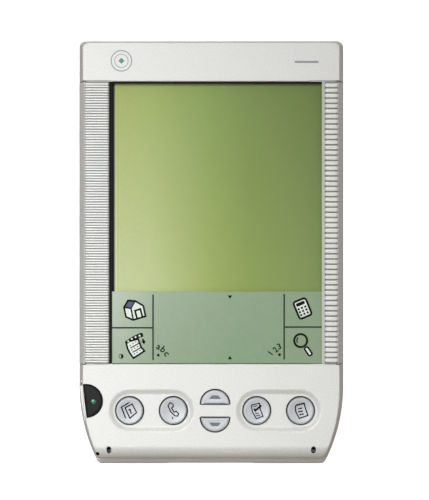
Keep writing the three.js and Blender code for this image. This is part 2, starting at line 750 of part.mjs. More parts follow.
function bridgeContact() {
  const springEnd = -(CELL.length / 2 + 0.45);
  return union(
    contactPlate(-1, LOWER_Y - 3.6, UPPER_Y + 3.6),
    contactSpring(UPPER_Y, -(CONTACT_X - 0.3), springEnd),
    contactNub(-1, LOWER_Y),
  );
}

function negativeContact() {
  return union(
    contactPlate(1, LOWER_Y - 3.6, LOWER_Y + 3.6),
    contactSpring(LOWER_Y, CONTACT_X - 0.3, CELL.length / 2 + 0.45),
  );
}

function positiveContact() {
  return union(contactPlate(1, UPPER_Y - 3.6, UPPER_Y + 3.6), contactNub(1, UPPER_Y));
}

// ---------------------------------------------------------------- stylus
const STYLUS_RADIUS = 2.4;

function turnedAlongY(profile, segments = 20) {
  const points = profile.map(([radius, y]) => new THREE.Vector2(radius, y));
  const geometry = new THREE.LatheGeometry(points, segments);
  geometry.translate(SILO.x, 0, SILO.z);
  return solidOf(geometry);
}

function stylusBarrel() {
  return turnedAlongY([[0, -36.5], [STYLUS_RADIUS, -36.5], [STYLUS_RADIUS, 48.0], [0, 48.0]]);
}

function stylusTip() {
  return turnedAlongY([[0, -44.2], [0.5, -44.0], [1.2, -41.5], [2.2, -36.6], [0, -36.6]], 16);
}

function stylusCap() {
  const bottom = 48.1;
  const top = 60.8;
  return turnedAlongY([
    [0, bottom],
    [STYLUS_RADIUS, bottom],
    [STYLUS_RADIUS, 59.4],
    [2.5, 59.8],
    [2.1, 60.7],
    [0, top],
  ]);
}

// ---------------------------------------------------------------- case screws
function caseScrew(x, y, headZ) {
  const head = rod(x, y, headZ, headZ + 1.5, 2.0, 16);
  const shank = rod(x, y, headZ + 1.4, headZ + 7.4, 1.0, 12);
  const slots = [0, Math.PI / 2].map((turn) => {
    const geometry = new THREE.BoxGeometry(2.2, 0.55, 1.4);
    geometry.rotateZ(turn);
    geometry.translate(x, y, headZ);
    return solidOf(geometry);
  });
  return slots.reduce((sum, slot) => sum.subtract(slot), union(head, shank));
}

// ---------------------------------------------------------------- assembly
const device = new THREE.Group();

function add(name, finish, solid) {
  const mesh = new THREE.Mesh(geometryOf(solid), new THREE.MeshStandardMaterial(finishes[finish]));
  mesh.name = name;
  device.add(mesh);
}

add("front_shell", "silver", frontShell());
add("rear_shell", "silver", rearShell());
add("left_side_grip", "grip", sideGrip(-1, -WINDOW.x0));
add("right_side_grip", "grip", sideGrip(1, WINDOW.x1));

add("screen_gasket", "black", screenGasket());
add("writing_area_film", "film", writingAreaFilm());
add("touch_panel", "glass", touchPanel());
add("display_panel", "glass", displayPanel());
add("backlight_panel", "plastic", backlightPanel());
add("display_carrier", "plastic", displayCarrier());
add("display_ribbon", "gold", displayRibbon());
add("touch_ribbon", "gold", touchRibbon());

for (const [name, x] of Object.entries(keyCentres)) {
  add(name + "_button", "keycap", roundButton(x));
  add(name + "_dome", "metal", dome(x, KEYS_Y));
}
for (const [name, sign] of [["scroll_up", 1], ["scroll_down", -1]]) {
  add(name + "_button", "keycap", scrollButton(sign));
  add(name + "_dome", "metal", dome(KEYS_X, KEYS_Y + sign * (SCROLL_FLAT_OFFSET + 2)));
}
add("power_button", "black", powerButton());
add("power_dome", "metal", dome(-32.2, POWER.y));

add("main_board", "board", mainBoard());
add("processor_chip", "black", chip(-12, 26, 16, 16, 1.5));
add("memory_chip", "black", chip(8, 28, 8, 14, 1.2));
add("rom_chip", "black", chip(20, 30, 8, 14, 1.2));
add("clock_crystal", "metal", chip(-2, 14, 8, 3, 2.2));
add("backup_capacitor", "metal", backupCapacitor());
add("module_connector", "black", moduleConnector());
add("cradle_connector", "black", cradleConnector());
add("infrared_transceiver", "black", infraredTransceiver());
add("infrared_window", "black", infraredWindow());
add("speaker_disc", "gold", speakerDisc());
add("microphone", "metal", microphone());
add("reset_switch", "metal", resetSwitch());
add("reset_plunger", "black", resetPlunger());

add("upper_cell", "cell", cell(1));
add("lower_cell", "cell", cell(-1));
add("bridge_contact", "metal", bridgeContact());
add("positive_contact", "metal", positiveContact());
add("negative_contact", "metal", negativeContact());
add("battery_door", "silver", batteryDoor());
add("expansion_blank", "silver", expansionBlank());

add("stylus_barrel", "metal", stylusBarrel());
add("stylus_tip", "black", stylusTip());
add("stylus_cap", "black", stylusCap());

for (const [side, sign] of [["left", -1], ["right", 1]]) {
  add("top_" + side + "_screw", "metal", caseScrew(sign * TOP_SCREW.x, TOP_SCREW.y, 6.9));
  add("bottom_" + side + "_screw", "metal", caseScrew(sign * BOTTOM_SCREW.x, BOTTOM_SCREW.y, 1.5));
}

export default device;
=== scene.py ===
import math

import bmesh
import bpy
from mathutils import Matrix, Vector


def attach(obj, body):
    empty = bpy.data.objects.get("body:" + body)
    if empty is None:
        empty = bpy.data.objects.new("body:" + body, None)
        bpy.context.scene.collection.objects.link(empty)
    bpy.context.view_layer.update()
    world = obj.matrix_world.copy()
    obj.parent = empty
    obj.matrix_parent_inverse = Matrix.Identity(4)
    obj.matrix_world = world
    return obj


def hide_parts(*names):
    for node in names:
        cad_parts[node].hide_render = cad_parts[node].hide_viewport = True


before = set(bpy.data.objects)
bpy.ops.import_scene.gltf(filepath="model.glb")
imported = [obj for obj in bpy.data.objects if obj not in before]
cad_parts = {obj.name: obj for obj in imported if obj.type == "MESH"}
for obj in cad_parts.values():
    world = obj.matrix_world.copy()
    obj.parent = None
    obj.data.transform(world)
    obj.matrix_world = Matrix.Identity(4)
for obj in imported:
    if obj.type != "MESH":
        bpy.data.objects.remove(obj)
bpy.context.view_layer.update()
scene = bpy.context.scene

# -------------------- studio
# A pale table lit from all round by a white room, with one large soft lamp hung above and to the left.
# The camera looks straight down, so the device stands upright in the frame.
LENS_MM = 133.0
CAMERA_AT = (0.00094, 0.00068, 0.540)  # a hair off the middle, so that the device sits a little left and low
LAMP_AT = Vector((-0.24, 0.04, 0.62))
LAMP_AIM = Vector((-0.125, -0.085, 0.0))
LAMP_SIZE = 0.50
LAMP_WATTS = 0.66
TABLE_HALF = 1.5
TABLE_Z = -0.00003


def placed(name, data):
    """A new object in the scene."""
    thing = bpy.data.objects.new(name, data)
    scene.collection.objects.link(thing)
    return thing


camera_data = bpy.data.cameras.new("studio_camera")
camera_data.sensor_width = 36.0
camera_data.lens = LENS_MM
camera_data.clip_start = 0.01
camera = placed("studio_camera", camera_data)
camera.location = CAMERA_AT
scene.camera = camera
scene.view_settings.view_transform = "Standard"


def linear(colour):
    """The linear colour of an sRGB hex value."""
    channels = [int(colour[i : i + 2], 16) / 255 for i in (1, 3, 5)]
    return tuple(c / 12.92 if c <= 0.04045 else ((c + 0.055) / 1.055) ** 2.4 for c in channels) + (1.0,)


def add(tree, kind, settings=None, inputs=None):
    """Adds a node. An input is a plain value, or the output that feeds it."""
    node = tree.nodes.new(kind)
    for name, value in (settings or {}).items():
        setattr(node, name, value)
    for name, value in (inputs or {}).items():
        if isinstance(value, bpy.types.NodeSocket):
            tree.links.new(value, node.inputs[name])
        else:
            node.inputs[name].default_value = value
    return node


def blend(tree, factor, low, high):
    """Mixes two colours, each a hex value or an output."""
    low, high = (linear(colour) if isinstance(colour, str) else colour for colour in (low, high))
    mix = add(tree, "ShaderNodeMix", {"data_type": "RGBA"}, {"Factor": factor, "A": low, "B": high})
    return mix.outputs["Result"]


def remap(tree, value, start=0.0, end=1.0, low=0.0, high=1.0):
    """Turns the range from start to end into the range from low to high."""
    return add(tree, "ShaderNodeMapRange", inputs={0: value, 1: start, 2: end, 3: low, 4: high}).outputs[0]


lamp_data = bpy.data.lights.new("soft_box", "AREA")
lamp_data.shape = "DISK"
lamp_data.size = LAMP_SIZE
lamp_data.spread = math.radians(50)
lamp_data.energy = LAMP_WATTS
lamp_data.color = linear("#f9fcff")[:3]
lamp = placed("soft_box", lamp_data)
lamp.location = LAMP_AT
lamp.rotation_euler = (LAMP_AIM - LAMP_AT).to_track_quat("-Z", "Y").to_euler()

room = bpy.data.worlds.new("white_room")
room.use_nodes = True
tree = room.node_tree
tree.nodes.clear()
# The room is darker and warmer towards the foot of the device. A pale wall on the right, away from the lamp,
# throws some light back.
direction = add(tree, "ShaderNodeTexCoord").outputs["Generated"]
split = add(tree, "ShaderNodeSeparateXYZ", inputs={0: direction})
room_tint = blend(tree, remap(tree, split.outputs["Y"], -1.0, 1.0), "#ae9f90", "#e6e6e6")
bounce = remap(tree, split.outputs["X"], -1.0, 1.0, 0.46, 0.70)
room_light = add(tree, "ShaderNodeBackground", inputs={"Color": room_tint, "Strength": bounce})
add(tree, "ShaderNodeOutputWorld", inputs={"Surface": room_light.outputs[0]})
scene.world = room

table_mesh = bpy.data.meshes.new("table")
table_corners = [(x * TABLE_HALF, y * TABLE_HALF, TABLE_Z) for x, y in ((-1, -1), (1, -1), (1, 1), (-1, 1))]
table_mesh.from_pydata(table_corners, [], [(0, 1, 2, 3)])
table = placed("table", table_mesh)
table.visible_diffuse = False  # black flags keep the table's own light off the flanks
table.visible_glossy = False


def surface(name, **shader):
    """A material with one shader, and the tree and the shader to work on."""
    material = bpy.data.materials.new(name)
    material.use_nodes = True
    tree = material.node_tree
    tree.nodes.clear()
    principled = add(tree, "ShaderNodeBsdfPrincipled", inputs=shader)
    add(tree, "ShaderNodeOutputMaterial", inputs={"Surface": principled.outputs[0]})
    return material, tree, principled


# Matt white laminate, faintly clouded. The table is lit from below as well, so that it shows pure white.
table_white, tree, shader = surface("table_laminate", Roughness=0.8)
shader.inputs["Emission Color"].default_value = linear("#ffffff")
shader.inputs["Emission Strength"].default_value = 0.95
place = add(tree, "ShaderNodeTexCoord").outputs["Object"]
cloud = add(tree, "ShaderNodeTexNoise", inputs={"Vector": place, "Scale": 9.0, "Detail": 3.0})
tree.links.new(blend(tree, cloud.outputs["Fac"], "#f4f4f3", "#fafafa"), shader.inputs["Base Color"])
table_mesh.materials.append(table_white)

# -------------------- rear shell
# The back half of the case: injection-moulded ABS, sprayed with silver paint. It carries the expansion bay,
# the tray for two cells and the tube for the stylus, and four screws hold the front shell to it.
MM = 0.001
HALF_WIDTH = 38.25
HALF_LENGTH = 60.9
TAPER_RADIUS = 47.5  # below TAPER_Y the sides curve in on this radius
TAPER_Y = -38.5
TOP_CORNER = 1.7
BOTTOM_CORNER = 1.6
SEAM_Z = 9.5
REAR_RIM_Z = 9.25
ROOT_Z = 0.8  # walls and posts grow from inside the thickness of the back
OPEN_Y = 63.0  # what opens at the top end is cut to beyond it
BAY = {"half_width": 27.35, "y0": 3.6, "top": 6.3}
TRAY = {"half_width": 25.6, "y0": -53.2, "y1": -30.4, "top": 11.6}
SILO = {"x": 32.3, "z": 5.1, "bore": 2.75, "y0": -45.0}
BOTTOM_SCREW = (29.8, -50.6)
TOP_SCREW = (22.5, 55.6)
RESET = (18.0, -14.0)
SPEAKER = (-15.0, -14.0)
DOOR_AXIS = (-52.0, 0.95)


def cleaned(mesh, reach):
    """Merges points that are closer than the reach, in metres, and turns the faces outwards."""
    shape = bmesh.new()
    shape.from_mesh(mesh)
    if reach:
        bmesh.ops.remove_doubles(shape, verts=shape.verts, dist=reach)
    bmesh.ops.recalc_face_normals(shape, faces=shape.faces)
    shape.to_mesh(mesh)
    shape.free()


def solid(name, points, faces, reach=1e-7):
    """A closed mesh from points in millimetres."""
    mesh = bpy.data.meshes.new(name)
    mesh.from_pydata([(x * MM, y * MM, z * MM) for x, y, z in points], [], faces)
    cleaned(mesh, reach)
    return placed(name, mesh)


def loft(name, rings):
    """Joins rings of equally many points into one closed solid with flat ends."""
    count = len(rings[0])
    points = [p for ring in rings for p in ring]
    faces = [
        (k * count + i, k * count + (i + 1) % count, (k + 1) * count + (i + 1) % count, (k + 1) * count + i)
        for k in range(len(rings) - 1)
        for i in range(count)
    ]
    last = (len(rings) - 1) * count
    faces += [tuple(reversed(range(count))), tuple(range(last, last + count))]
    return solid(name, points, faces)


def flat_ring(outline, z):
    return [(x, y, z) for x, y in outline]


def prism(name, outline, z0, z1):
    return loft(name, [flat_ring(outline, z0), flat_ring(outline, z1)])


def box(name, x0, x1, y0, y1, z0, z1):
    return prism(name, [(x0, y0), (x1, y0), (x1, y1), (x0, y1)], z0, z1)


def bar(name, section, axis, start, end):
    """A section swept along X (section in y, z) or along Y (section in x, z)."""
    rings = []
    for at in (start, end):
        rings.append([(at, a, b) if axis == "X" else (a, at, b) for a, b in section])
    return loft(name, rings)


def arc(cx, cy, radius, start, end, steps):
    angles = [start + (end - start) * i / steps for i in range(steps + 1)]
    return [(cx + radius * math.cos(a), cy + radius * math.sin(a)) for a in angles]


def circle(cx, cy, radius, steps=48):
    return arc(cx, cy, radius, 0, 2 * math.pi, steps)[:-1]


def rod(name, x, y, z0, z1, radius, steps=40):
    return prism(name, circle(x, y, radius, steps), z0, z1)


def rounded(x0, x1, y0, y1, radius, grow=0.0, steps=6):
    """A rectangle with round corners, anticlockwise from the bottom right, grown all round."""
    left, right, low, high = x0 + radius, x1 - radius, y0 + radius, y1 - radius
    outline = []
    for i, (cx, cy) in enumerate(((right, low), (right, high), (left, high), (left, low))):
        outline += arc(cx, cy, radius + grow, (i - 1) * math.pi / 2, i * math.pi / 2, steps)
    return outline


def evaluated(piece):
    """The mesh of a piece as its modifiers or its curve make it."""
    graph = bpy.context.evaluated_depsgraph_get()
    return bpy.data.meshes.new_from_object(piece.evaluated_get(graph))


def settle(piece):
    """Turns a piece with modifiers into a plain mesh."""
    mesh = evaluated(piece)
    piece.modifiers.clear()
    piece.data = mesh
    return piece


def combine(piece, tools, operation="DIFFERENCE"):
    """Cuts the tools out of a piece, or adds them to it."""
    for tool in tools:
        step = piece.modifiers.new("step", "BOOLEAN")
        step.operation = operation
        step.solver = "EXACT"
        step.object = tool
    settle(piece)
    for tool in tools:
        bpy.data.objects.remove(tool)
    return piece


def bevelled(piece, width, segments=3, angle=35):
    edge = piece.modifiers.new("edge", "BEVEL")
    edge.width = width * MM
    edge.segments = segments
    edge.limit_method = "ANGLE"
    edge.angle_limit = math.radians(angle)
    edge.miter_outer = "MITER_ARC"
    return settle(piece)


def smooth(piece, angle=32):
    """Smooth shading, kept crisp at edges sharper than the angle and true on the large flat faces."""
    piece.data.shade_smooth()
    piece.data.set_sharp_from_angle(angle=math.radians(angle))
    even = piece.modifiers.new("even", "WEIGHTED_NORMAL")
    even.keep_sharp = True
    even.weight = 60
    return settle(piece)


def case_outline(side, top, bottom):
    """The case outline, pulled in at the sides, top and bottom, anticlockwise from the bottom right."""
    x = HALF_WIDTH - side
    top_y = HALF_LENGTH - top
    corner_y = bottom - HALF_LENGTH + BOTTOM_CORNER
    taper = TAPER_RADIUS - side
    taper_x = x - taper
    corner_x = taper_x + math.sqrt((taper - BOTTOM_CORNER) ** 2 - (corner_y - TAPER_Y) ** 2)
    meet = math.atan2(corner_y - TAPER_Y, corner_x - taper_x)
    right = arc(corner_x, corner_y, BOTTOM_CORNER, -math.pi / 2, meet, 8)
    right += arc(taper_x, TAPER_Y, taper, meet, 0, 28)[1:]
    right += arc(x - TOP_CORNER, top_y - TOP_CORNER, TOP_CORNER, 0, math.pi / 2, 8)
    return right + [(-px, py) for px, py in reversed(right)]


def case_loft(name, levels):
    return loft(name, [flat_ring(case_outline(side, top, bottom), z) for z, side, top, bottom in levels])


def rear_skin(z):
    """How far the back's skin is pulled in at a height: an elliptical roll at the bottom edge."""
    lift = max(0.0, z - 8.0) / 1.25
    lean = 1.45 * (max(0.0, z - 7.0) / 2.25) ** 1.5
    roll = 1 - math.sqrt(1 - (max(0.0, 5.0 - z) / 5.0) ** 2)
    return (z, 0.2 + 0.15 * lift + 3.0 * roll, 0.1 * lift + 0.9 * roll, lean + 3.0 * roll)


rear_levels = [0, 0.1, 0.25, 0.45, 0.7, 1.0, 1.4, 1.9, 2.5, 3.2, 4.0, 5.0, 6.0, 7.0]
rear_levels += [7.4, 7.8, 8.2, 8.6, 8.9, REAR_RIM_Z]
rear = case_loft("rear_case", [rear_skin(z) for z in rear_levels])
rear_inside = [(1.5, 3.4, 2.2, 3.4), (4.0, 2.1, 1.9, 2.1), (REAR_RIM_Z + 1, 1.8, 1.8, 2.9)]
combine(rear, [case_loft("room_inside", rear_inside)])

lip = case_loft("lip", [(z, 2.95, 2.35, 3.65) for z in (8.0, 10.2)])
combine(lip, [case_loft("shelf", [(z, 1.2, 1.2, 2.2) for z in (8.0, 8.8)])], "UNION")
combine(lip, [case_loft("lip_inside", [(z, 3.7, 3.1, 4.4) for z in (7.0, 11.0)])])
silo_wall = bar("silo_wall", circle(SILO["x"], SILO["z"], 3.5), "Y", SILO["y0"] - 1.3, 59.6)
additions = [
    lip,
    box("bay_wall", -29.1, 29.1, 2.4, 59.6, ROOT_Z, 7.5),
    box("tray_wall", -26.6, 26.6, TRAY["y0"] - 1, TRAY["y1"] + 1, ROOT_Z, TRAY["top"] + 0.5),
    silo_wall,
    rod("reset_boss", *RESET, ROOT_Z, 6, 2.8),
]
for side in (-1, 1):
    additions.append(rod("bottom_post", side * BOTTOM_SCREW[0], BOTTOM_SCREW[1], ROOT_Z, 8.9, 3.4))
    additions.append(rod("top_post", side * TOP_SCREW[0], TOP_SCREW[1], 7.0, 10.0, 3.0))
combine(rear, additions, "UNION")


def well(name, outline, deep, face, flare, beyond=1.0, steps=4):
    """A cutter for a hole whose mouth is rounded over. It runs from a depth to beyond a face of the case."""
    way = 1 if face > deep else -1
    rings = [flat_ring(outline(0.0), deep), flat_ring(outline(0.0), face - way * flare)]
    for i in range(1, steps + 1):
        turn = math.pi / 2 * i / steps
        z = face - way * flare + way * (flare + 0.004) * math.sin(turn)
        rings.append(flat_ring(outline(flare * (1 - math.cos(turn))), z))
    rings.append(flat_ring(outline(flare), face + way * beyond))
    return loft(name, rings)


def rounded_well(name, x0, x1, y0, y1, radius, deep, face, flare):
    return well(name, lambda grow: rounded(x0, x1, y0, y1, radius, grow), deep, face, flare)


def round_well(name, x, y, radius, deep, face, flare):
    return well(name, lambda grow: circle(x, y, radius + grow), deep, face, flare)


bay = BAY["half_width"]
tray = TRAY["half_width"]
cuts = [
    box("bay", -bay, bay, BAY["y0"], OPEN_Y, -1, BAY["top"]),
    box("bay_grooves", -28.15, 28.15, BAY["y0"], OPEN_Y, 2.9, 4.3),
    box("module_slot", -25.5, 25.5, 2, 4, 1.8, 6.0),
    rounded_well("tray", -tray, tray, TRAY["y0"], TRAY["y1"], 0.4, TRAY["top"], 0, 0.25),
    bar("silo", circle(SILO["x"], SILO["z"], SILO["bore"]), "Y", SILO["y0"], OPEN_Y),
    bar("hinge_holes", circle(DOOR_AXIS[0], DOOR_AXIS[1], 0.5, 16), "X", -27, 27),
    bar("port", rounded(18, 30, 4.6, 8.4, 0.8), "X", -39, -35),
    box("connector_mouth", -12.3, 12.3, -63, -58, 3.0, 7.6),
    box("connector_way", -12.4, 12.4, -57.6, -54.6, 7.4, 12.2),
    round_well("reset_hole", *RESET, 1.0, 3, 0, 0.25),
    rod("reset_guide", *RESET, 1.5, 8, 1.65),
]
for side in (-1, 1):
    x, y = side * BOTTOM_SCREW[0], BOTTOM_SCREW[1]
    cuts += [round_well("screw_well", x, y, 2.25, 3.0, 0, 0.3), rod("screw_way", x, y, 2, 9.5, 1.25)]
    x, y = side * TOP_SCREW[0], TOP_SCREW[1]
    cuts += [rod("top_well", x, y, 5, 8.4, 2.2), rod("top_way", x, y, 5, 11, 1.25)]
    cuts.append(box("cradle_latch", side * 16 - 1.2, side * 16 + 1.2, -63, -59.6, 4.0, 6.6))
for offset in (-3, 0, 3):
    x, y = SPEAKER[0], SPEAKER[1] + offset
    cuts.append(rounded_well("speaker_slot", x - 4, x + 4, y - 0.5, y + 0.5, 0.49, 1.6, 0, 0.2))
# A shallow bed for the label.
cuts.append(rounded_well("label_bed", -24, 10, -8.5, 0.5, 1.2, 0.18, 0, 0.1))
combine(rear, cuts)
smooth(rear)

# Silver paint: a fine aluminium flake under a satin clear coat, sprayed over grey ABS. It gives a pale,
# slightly sparkling grey. A real flake is 0.03 mm; it is drawn at 0.3 mm so that it shows. Use has left a
# few dark nicks.
FLAKE_MM = 0.30
CLOUD_MM = 16.0
NICK_MM = 9.0


def noise(tree, place, size_mm, detail, roughness=0.5):
    """Soft noise with blotches of about a given size."""
    inputs = {"Vector": place, "Scale": 1 / (size_mm * MM), "Detail": detail, "Roughness": roughness}
    return add(tree, "ShaderNodeTexNoise", inputs=inputs).outputs["Fac"]


def relief(tree, shader, height, strength, depth_mm):
    """Lets the light see a shader's surface as uneven."""
    inputs = {"Strength": strength, "Distance": depth_mm * MM, "Height": height}
    bump = add(tree, "ShaderNodeBump", inputs=inputs)
    tree.links.new(bump.outputs[0], shader.inputs["Normal"])


def silver(name, low, high, roughness=0.5, metallic=0.12, nicks=True):
    material, tree, shader = surface(name, Metallic=metallic)
    place = add(tree, "ShaderNodeTexCoord").outputs["Object"]
    flake = noise(tree, place, FLAKE_MM, 2.0)
    cloud = noise(tree, place, CLOUD_MM, 4.0)
    both = add(tree, "ShaderNodeMath", {"operation": "MULTIPLY_ADD"}, {0: cloud, 1: 0.35, 2: flake})
    colour = blend(tree, remap(tree, both.outputs[0], 0.42, 0.92), low, high)
    if nicks:
        cell = add(tree, "ShaderNodeTexVoronoi", inputs={"Vector": place, "Scale": 1 / (NICK_MM * MM)})
        nick = remap(tree, cell.outputs["Distance"], 0.012, 0.02, 0.45, 0.0)
        colour = blend(tree, nick, colour, "#77756f")
    tree.links.new(colour, shader.inputs["Base Color"])
    rub = remap(tree, cloud, 0.0, 1.0, roughness - 0.07, roughness + 0.07)
    tree.links.new(rub, shader.inputs["Roughness"])
    relief(tree, shader, flake, 0.25, 0.03)
    return material


silver_paint = silver("silver_paint", "#c9c9c5", "#dededa")
rear.data.materials.clear()
rear.data.materials.append(silver_paint)
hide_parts("rear_shell")
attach(rear, "case")

# -------------------- main board and chips
# Glass-reinforced epoxy under green solder mask, with copper tracks that show as paler green lines, and black
# epoxy chips soldered to its underside.
TRACK_PITCH_MM = 1.27  # a common pitch


def grained(name, colour, second, roughness, grain_mm, relief_mm=0.01, metallic=0.0, stretch=(1, 1, 1)):
    """A material whose colour and surface wander between two tones at the size of its grain."""
    material, tree, shader = surface(name, Metallic=metallic)
    place = add(tree, "ShaderNodeTexCoord").outputs["Object"]
    turned = add(tree, "ShaderNodeMapping", inputs={"Vector": place, "Scale": stretch})
    grain = noise(tree, turned.outputs[0], grain_mm, 5.0, 0.6)
    tree.links.new(blend(tree, remap(tree, grain, 0.3, 0.7), colour, second), shader.inputs["Base Color"])
    polish = remap(tree, grain, 0.0, 1.0, roughness * 0.8, roughness * 1.2)
    tree.links.new(polish, shader.inputs["Roughness"])
    relief(tree, shader, grain, 0.6, relief_mm)
    return material


def coat(material, *names):
    """Gives CAD nodes a finish."""
    for name in names:
        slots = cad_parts[name].data.materials
        if not slots:
            slots.append(material)
        for i in range(len(slots)):
            slots[i] = material


solder_mask, tree, shader = surface("solder_mask", Roughness=0.35)
place = add(tree, "ShaderNodeTexCoord").outputs["Object"]
tracks = add(
    tree,
    "ShaderNodeTexBrick",
    {"offset": 0.37, "squash": 1.0},
    {"Vector": place, "Scale": 1 / (TRACK_PITCH_MM * MM) / 4, "Mortar Size": 0.06, "Mortar Smooth": 0.1},
)
tracks.inputs["Color1"].default_value = linear("#1f5a36")
tracks.inputs["Color2"].default_value = linear("#235f3a")
tracks.inputs["Mortar"].default_value = linear("#3f8a58")
tree.links.new(tracks.outputs["Color"], shader.inputs["Base Color"])
relief(tree, shader, tracks.outputs["Fac"], 0.4, 0.04)
coat(solder_mask, "main_board")

chip_epoxy = grained("chip_epoxy", "#17181a", "#242527", 0.55, 0.2)
coat(chip_epoxy, "processor_chip", "memory_chip", "rom_chip", "infrared_transceiver")
tin_plate = grained("tin_plate", "#b9bab8", "#d2d3d0", 0.32, 0.6, metallic=1.0)
coat(tin_plate, "clock_crystal", "backup_capacitor", "microphone", "reset_switch")
black_abs = grained("black_abs", "#141514", "#20211f", 0.5, 0.25)
coat(black_abs, "module_connector", "reset_plunger")
speaker_brass = grained("speaker_brass", "#b08d4a", "#c9a862", 0.3, 0.8, metallic=1.0)
coat(speaker_brass, "speaker_disc")
dome_steel = grained("dome_steel", "#b4b6b8", "#cdcfd0", 0.28, 0.5, metallic=1.0)
domes = ["date_book", "address_book", "to_do_list", "memo_pad", "scroll_up", "scroll_down", "power"]
coat(dome_steel, *[name + "_dome" for name in domes])
ribbon_film = grained("ribbon_film", "#b0792f", "#c98f42", 0.35, 1.2)
coat(ribbon_film, "display_ribbon", "touch_ribbon")
white_abs = grained("white_abs", "#dedcd4", "#e9e7e0", 0.55, 0.4)
coat(white_abs, "backlight_panel", "display_carrier")

# -------------------- display
# Liquid crystal glass over a green-yellow reflector, in a black mask, which along the left side also stands as
# painted shade from the window's wall. Its tint drifts from pale yellow at the lower left to deep green at the
# upper right, partly as the twist of the crystal does off its best viewing angle and partly as painted reflection
# and shade.
DISPLAY_X0 = -29.9
DISPLAY_X1 = 33.3
BORDER_AND_SHADE_X = -27.55  # the black mask covers the glass left of this


def ramp(tree, factor, stops):
    """A colour ramp from (place, hex colour) stops."""
    node = add(tree, "ShaderNodeValToRGB", inputs={"Fac": factor})
    band = node.color_ramp
    while len(band.elements) < len(stops):
        band.elements.new(0.5)
    for element, (at, colour) in zip(band.elements, stops):
        element.position = at
        element.color = linear(colour)
    return node.outputs["Color"]


def share(x):
    """A millimetre place across the display as a share of its width."""
    return (x - DISPLAY_X0) / (DISPLAY_X1 - DISPLAY_X0)


def drifting(name, roughness, gloss, foot, head, low_band, high_band, mottle_mm, detail, veil):
    """A finish with a ramp of colours across X at its foot, which drifts into another one at its head."""
    material, tree, shader = surface(name, Roughness=roughness)
    shader.inputs["Specular IOR Level"].default_value = gloss
    place = add(tree, "ShaderNodeTexCoord").outputs["Object"]
    axes = add(tree, "ShaderNodeSeparateXYZ", inputs={0: place})
    across = remap(tree, axes.outputs["X"], DISPLAY_X0 * MM, DISPLAY_X1 * MM)
    upward = remap(tree, axes.outputs["Y"], foot * MM, head * MM)
    drift = blend(tree, upward, ramp(tree, across, low_band), ramp(tree, across, high_band))
    shade = remap(tree, noise(tree, place, mottle_mm, detail), 0.0, 1.0, *veil)
    tinted = add(tree, "ShaderNodeVectorMath", {"operation": "SCALE"}, {0: drift, "Scale": shade})
    tree.links.new(tinted.outputs[0], shader.inputs["Base Color"])
    return material


# The black band at the left is the glass's own border, widened by painted shade from the left wall of the window.
mask = [(0.0, "#0c0f0b"), (share(BORDER_AND_SHADE_X), "#0c0f0b")]
# The colours run lighter at the lower left and darker at the upper right: partly the crystal's tint, partly painted
# reflection and shade.
low_band = mask + [
    (share(BORDER_AND_SHADE_X + 0.2), "#e4eabf"),
    (share(-26.8), "#edf2c4"),
    (share(-26.55), "#c0ca80"),
    (share(-26.3), "#e2eaa8"),
    (share(-25.8), "#d6dfa8"),
    (share(-17.4), "#d0dc9f"),
    (share(1.0), "#abbd6c"),
    (share(11.0), "#9bb061"),
    (share(33.0), "#90a565"),
]
high_band = mask + [
    (share(BORDER_AND_SHADE_X + 0.2), "#c3cd86"),
    (share(-26.8), "#cad584"),
    (share(-26.55), "#a9b368"),
    (share(-26.3), "#c3d07a"),
    (share(-25.8), "#bac775"),
    (share(-17.4), "#b2c574"),
    (share(1.0), "#96b064"),
    (share(11.0), "#8ba25b"),
    (share(33.0), "#7a8f50"),
]
display_glass = drifting("display_glass", 0.5, 0.05, -9.4, 46.2, low_band, high_band, 1.1, 3.0, (0.87, 0.97))
coat(display_glass, "display_panel")

# -------------------- touch panel
# Two clear conducting sheets on glass. The top sheet is matt, so it lays a thin grey haze over the display.
touch_sheet, tree, shader = surface("touch_sheet", Alpha=0.05)
shader.inputs["Base Color"].default_value = linear("#5d6652")
shader.inputs["Specular IOR Level"].default_value = 0.3
place = add(tree, "ShaderNodeTexCoord").outputs["Object"]
haze = remap(tree, noise(tree, place, 0.8, 6.0), 0.0, 1.0, 0.28, 0.42)
tree.links.new(haze, shader.inputs["Roughness"])
coat(touch_sheet, "touch_panel")

# -------------------- writing area
# A printed polyester film laid over the lower part of the touch panel: grey-green ground with black line art,
# two short rows of characters that say what is written where, and two small arrows.
FILM_TOP_Z = 15.59
low_band = [(0.0, "#a6b69e"), (share(-15), "#92a58a"), (share(8), "#87a07e"), (1.0, "#90a284")]
high_band = [(0.0, "#c0cbbb"), (share(-15), "#9fb097"), (share(8), "#90a689"), (1.0, "#8ea284")]
film_print = drifting("film_print", 0.45, 0.2, -31.0, -12.0, low_band, high_band, 1.6, 4.0, (0.86, 0.96))
coat(film_print, "writing_area_film")

INK_LIFT = 0.02
INK_SINK = 0.03


def stroke(path, width, height, closed=False):
    """A printed line: a thin closed band along a path, on a surface whose height is a function of x and y."""
    count = len(path)
    points, faces = [], []
    for i, (x, y) in enumerate(path):
        before = path[i - 1] if i or closed else path[i]
        after = path[(i + 1) % count] if i + 1 < count or closed else path[i]
        ways = [Vector((x - before[0], y - before[1])), Vector((after[0] - x, after[1] - y))]
        ways = [way.normalized() for way in ways if way.length > 1e-9]
        along = sum(ways, Vector((0, 0))).normalized()
        reach = width / 2 / max(0.5, along.dot(ways[0]))
        for hand in (1, -1):
            px, py = x - along.y * reach * hand, y + along.x * reach * hand
            points += [(px, py, height(px, py) + INK_LIFT), (px, py, height(px, py) - INK_SINK)]
    for i in range(count if closed else count - 1):
        a, b = 4 * i, 4 * ((i + 1) % count)
        faces += [(a, b, b + 2, a + 2), (a + 1, a + 3, b + 3, b + 1)]
        faces += [(a, a + 1, b + 1, b), (a + 2, b + 2, b + 3, a + 3)]
    if not closed:
        last = 4 * (count - 1)
        faces += [(0, 2, 3, 1), (last, last + 1, last + 3, last + 2)]
    return points, faces


